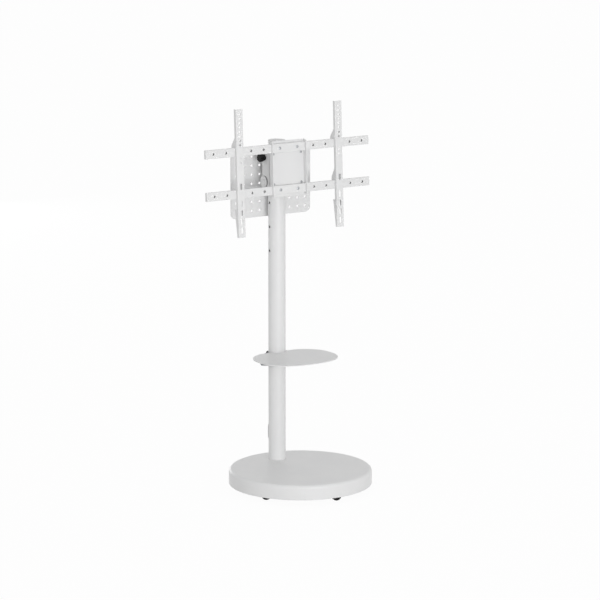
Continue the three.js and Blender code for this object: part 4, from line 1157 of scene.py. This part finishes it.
def add_casters():
    for index, turn in enumerate(CASTER.angles):
        x, y = polar(CASTER.ring, -90 + 360 * index / len(CASTER.angles))
        where = Matrix.Translation((x, y, 0)) @ Matrix.Rotation(radians(turn), 4, "Z")
        name = f"caster_{index + 1}"
        place(caster_stem(), f"{name}_stem", where, "stand", "zinc_steel", 0.3)
        place(caster_hood(), f"{name}_hood", where, f"{name}_fork", "black_plastic", 0.6)
        place(wheel_pair(), f"{name}_wheels", where, f"{name}_pair", "black_tyre", 0.3)


def add_shelf():
    place(shelf_plate(), "shelf_plate", ON_SHELF, "shelf", "white_paint", 0.9, segments=3)
    walls = (SHELF_SLEEVE, SLIDING)
    # The bracket takes the dark grey so that its strip under the shelf shows dark: painted shade.
    place(shelf_bracket(), "shelf_bracket", ON_SHELF, "shelf", "inner_steel", 0.6, walls)
    place_row(shelf_screw, SHELF_SCREW_SPOTS, "shelf_screw", ON_SHELF, "shelf", "zinc_steel", 0.15)
    place(shelf_lock(), "shelf_lock_knob", ON_SHELF, "shelf_knob", "black_plastic", 0)


def add_carriage():
    where, body = ON_CARRIAGE, "carriage"
    walls = (CARRIAGE_SLEEVE, SLIDING)
    place(carriage_sleeve(), "carriage_sleeve", where, body, "white_paint", 0.5, walls)
    place(height_lock(), "height_lock_screw", where, body, "zinc_steel", 0.2)
    place(player_plate(), "player_plate", where, body, "white_paint", 0.4)
    place_row(player_bolt, PLAYER_SPOTS, "player_bolt", where, body, "zinc_steel", 0.15)
    place_pair(tilt_pivot, "tilt_pivot_{}", where, body, "white_paint", 0.3)
    place_pair(friction_disc, "friction_disc_{}", where, body, "black_plastic", 0.5)
    stud = clamp_stud(CHEEK_FACE + KNOB.stud_beyond)
    place(mirrored(stud), "clamp_stud_left", where, body, "zinc_steel", 0.2)
    place(mirrored(clamp_knob()), "clamp_knob_left", where, "tilt_knob", "black_plastic", 0)
    place(clamp_bolt(), "clamp_bolt_right", where, body, "zinc_steel", 0.25)


def add_head():
    where, body = ON_HEAD, "head"
    place(head_frame(), "head_frame", where, body, "white_paint", 0.4)
    place_pair(tilt_ear, "tilt_ear_{}", where, body, "white_paint", 0.4)
    for number, spot in enumerate(EAR_SPOTS, 1):
        place_pair(lambda: ear_bolt(spot), f"ear_bolt_{{}}_{number}", where, body, "zinc_steel", 0.15)
    for name, centre in zip(("upper", "lower"), RAILS):
        place(rail(centre), f"rail_{name}", where, body, "white_paint", 0.35)
    place_row(rail_screw, RAIL_SCREW_SPOTS, "rail_screw", where, body, "zinc_steel", 0.15)
    for side, sign in (("left", -1), ("right", 1)):
        hung = where @ Matrix.Translation((sign * ARM.offset, 0, 0))
        place(arm(), f"arm_{side}", hung, f"{side}_arm", "white_paint", 0.35)
        place(arm_lock(), f"arm_lock_screw_{side}", hung, f"{side}_arm", "zinc_steel", 0.2)


# Surroundings: where the lamps aim, the light of the even surround, and how white it and the floor are seen

MIDDLE = (0, 0.1, 0.75)
SURROUND = 0.6
SEEN_WHITE = 0.982
FLOOR_WHITE = 0.965


def add_looking(name, data, where, aim):
    """A camera or a lamp that looks from one place at another."""
    made = add_object(name, data)
    made.location = where
    made.rotation_euler = (Vector(aim) - Vector(where)).to_track_quat("-Z", "Y").to_euler()
    return made


def add_camera():
    data = bpy.data.cameras.new("camera")
    data.sensor_width = 36
    data.lens = 181.09
    data.clip_end = 60
    eye, aim = (-5.4983, -8.5237, 2.7067), (0.0673, 0.1066, 0.6380)
    scene.camera = add_looking("camera", data, eye, aim)


def add_lamp(name, where, size, power):
    data = bpy.data.lights.new(name, "AREA")
    data.shape = "DISK"
    data.size = size
    data.energy = power
    add_looking(name, data, where, MIDDLE)


def calculated(tree, operation, first, second):
    node = tree.nodes.new("ShaderNodeMath")
    node.operation = operation
    return feed(node, {0: first, 1: second}).outputs["Value"]


def seen_rays(tree):
    """1 for what the camera sees directly, in a mirror or through glass."""
    path = tree.nodes.new("ShaderNodeLightPath").outputs
    direct = calculated(tree, "MAXIMUM", path["Is Camera Ray"], path["Is Glossy Ray"])
    return calculated(tree, "MAXIMUM", direct, path["Is Transmission Ray"])


def mix_surfaces(tree, output, share, first, second):
    """Sends the first surface to the output, with a share of the second."""
    inputs = {"Fac": share, 1: first.outputs[0], 2: second.outputs[0]}
    mix = feed(tree.nodes.new("ShaderNodeMixShader"), inputs)
    feed(tree.nodes.new(output), {"Surface": mix.outputs["Shader"]})


def background(tree, white, strength):
    node = tree.nodes.new("ShaderNodeBackground")
    return feed(node, {"Color": (white, white, white, 1), "Strength": strength})


def empty_tree(owner):
    owner.use_nodes = True
    owner.node_tree.nodes.clear()
    return owner.node_tree


def add_world():
    world = bpy.data.worlds.new("studio")
    tree = empty_tree(world)
    light, seen = background(tree, 1, SURROUND), background(tree, SEEN_WHITE, 1)
    mix_surfaces(tree, "ShaderNodeOutputWorld", seen_rays(tree), light, seen)
    scene.world = world


def white_floor():
    """White where it is seen, with a small share of plain floor that takes the shadows."""
    material = bpy.data.materials.new("white_floor")
    tree = empty_tree(material)
    diffuse = feed(tree.nodes.new("ShaderNodeBsdfDiffuse"), {"Color": (0.9, 0.9, 0.9, 1)})
    glow = feed(tree.nodes.new("ShaderNodeEmission"), {"Strength": 1})
    share = calculated(tree, "MULTIPLY", seen_rays(tree), FLOOR_WHITE)
    mix_surfaces(tree, "ShaderNodeOutputMaterial", share, diffuse, glow)
    return material


def add_floor():
    reach = 30
    mesh = bpy.data.meshes.new("floor")
    corners = [(x, y, 0) for x, y in rectangle(-reach, reach, -reach, reach)]
    mesh.from_pydata(corners, [], [(0, 1, 2, 3)])
    mesh.materials.append(white_floor())
    add_object("floor", mesh)


add_camera()
add_world()
add_lamp("key", (-1.04, -5.9, 0.45), 3.0, 180)
add_lamp("side", (-5.9, -1.04, 0.7), 3.0, 15)
add_lamp("rear", (1.0, 6.1, 0.6), 2.0, 38)
add_floor()
for add_group in (add_base, add_pole, add_casters, add_shelf, add_carriage, add_head):
    add_group()
scene.view_settings.view_transform = "Standard"
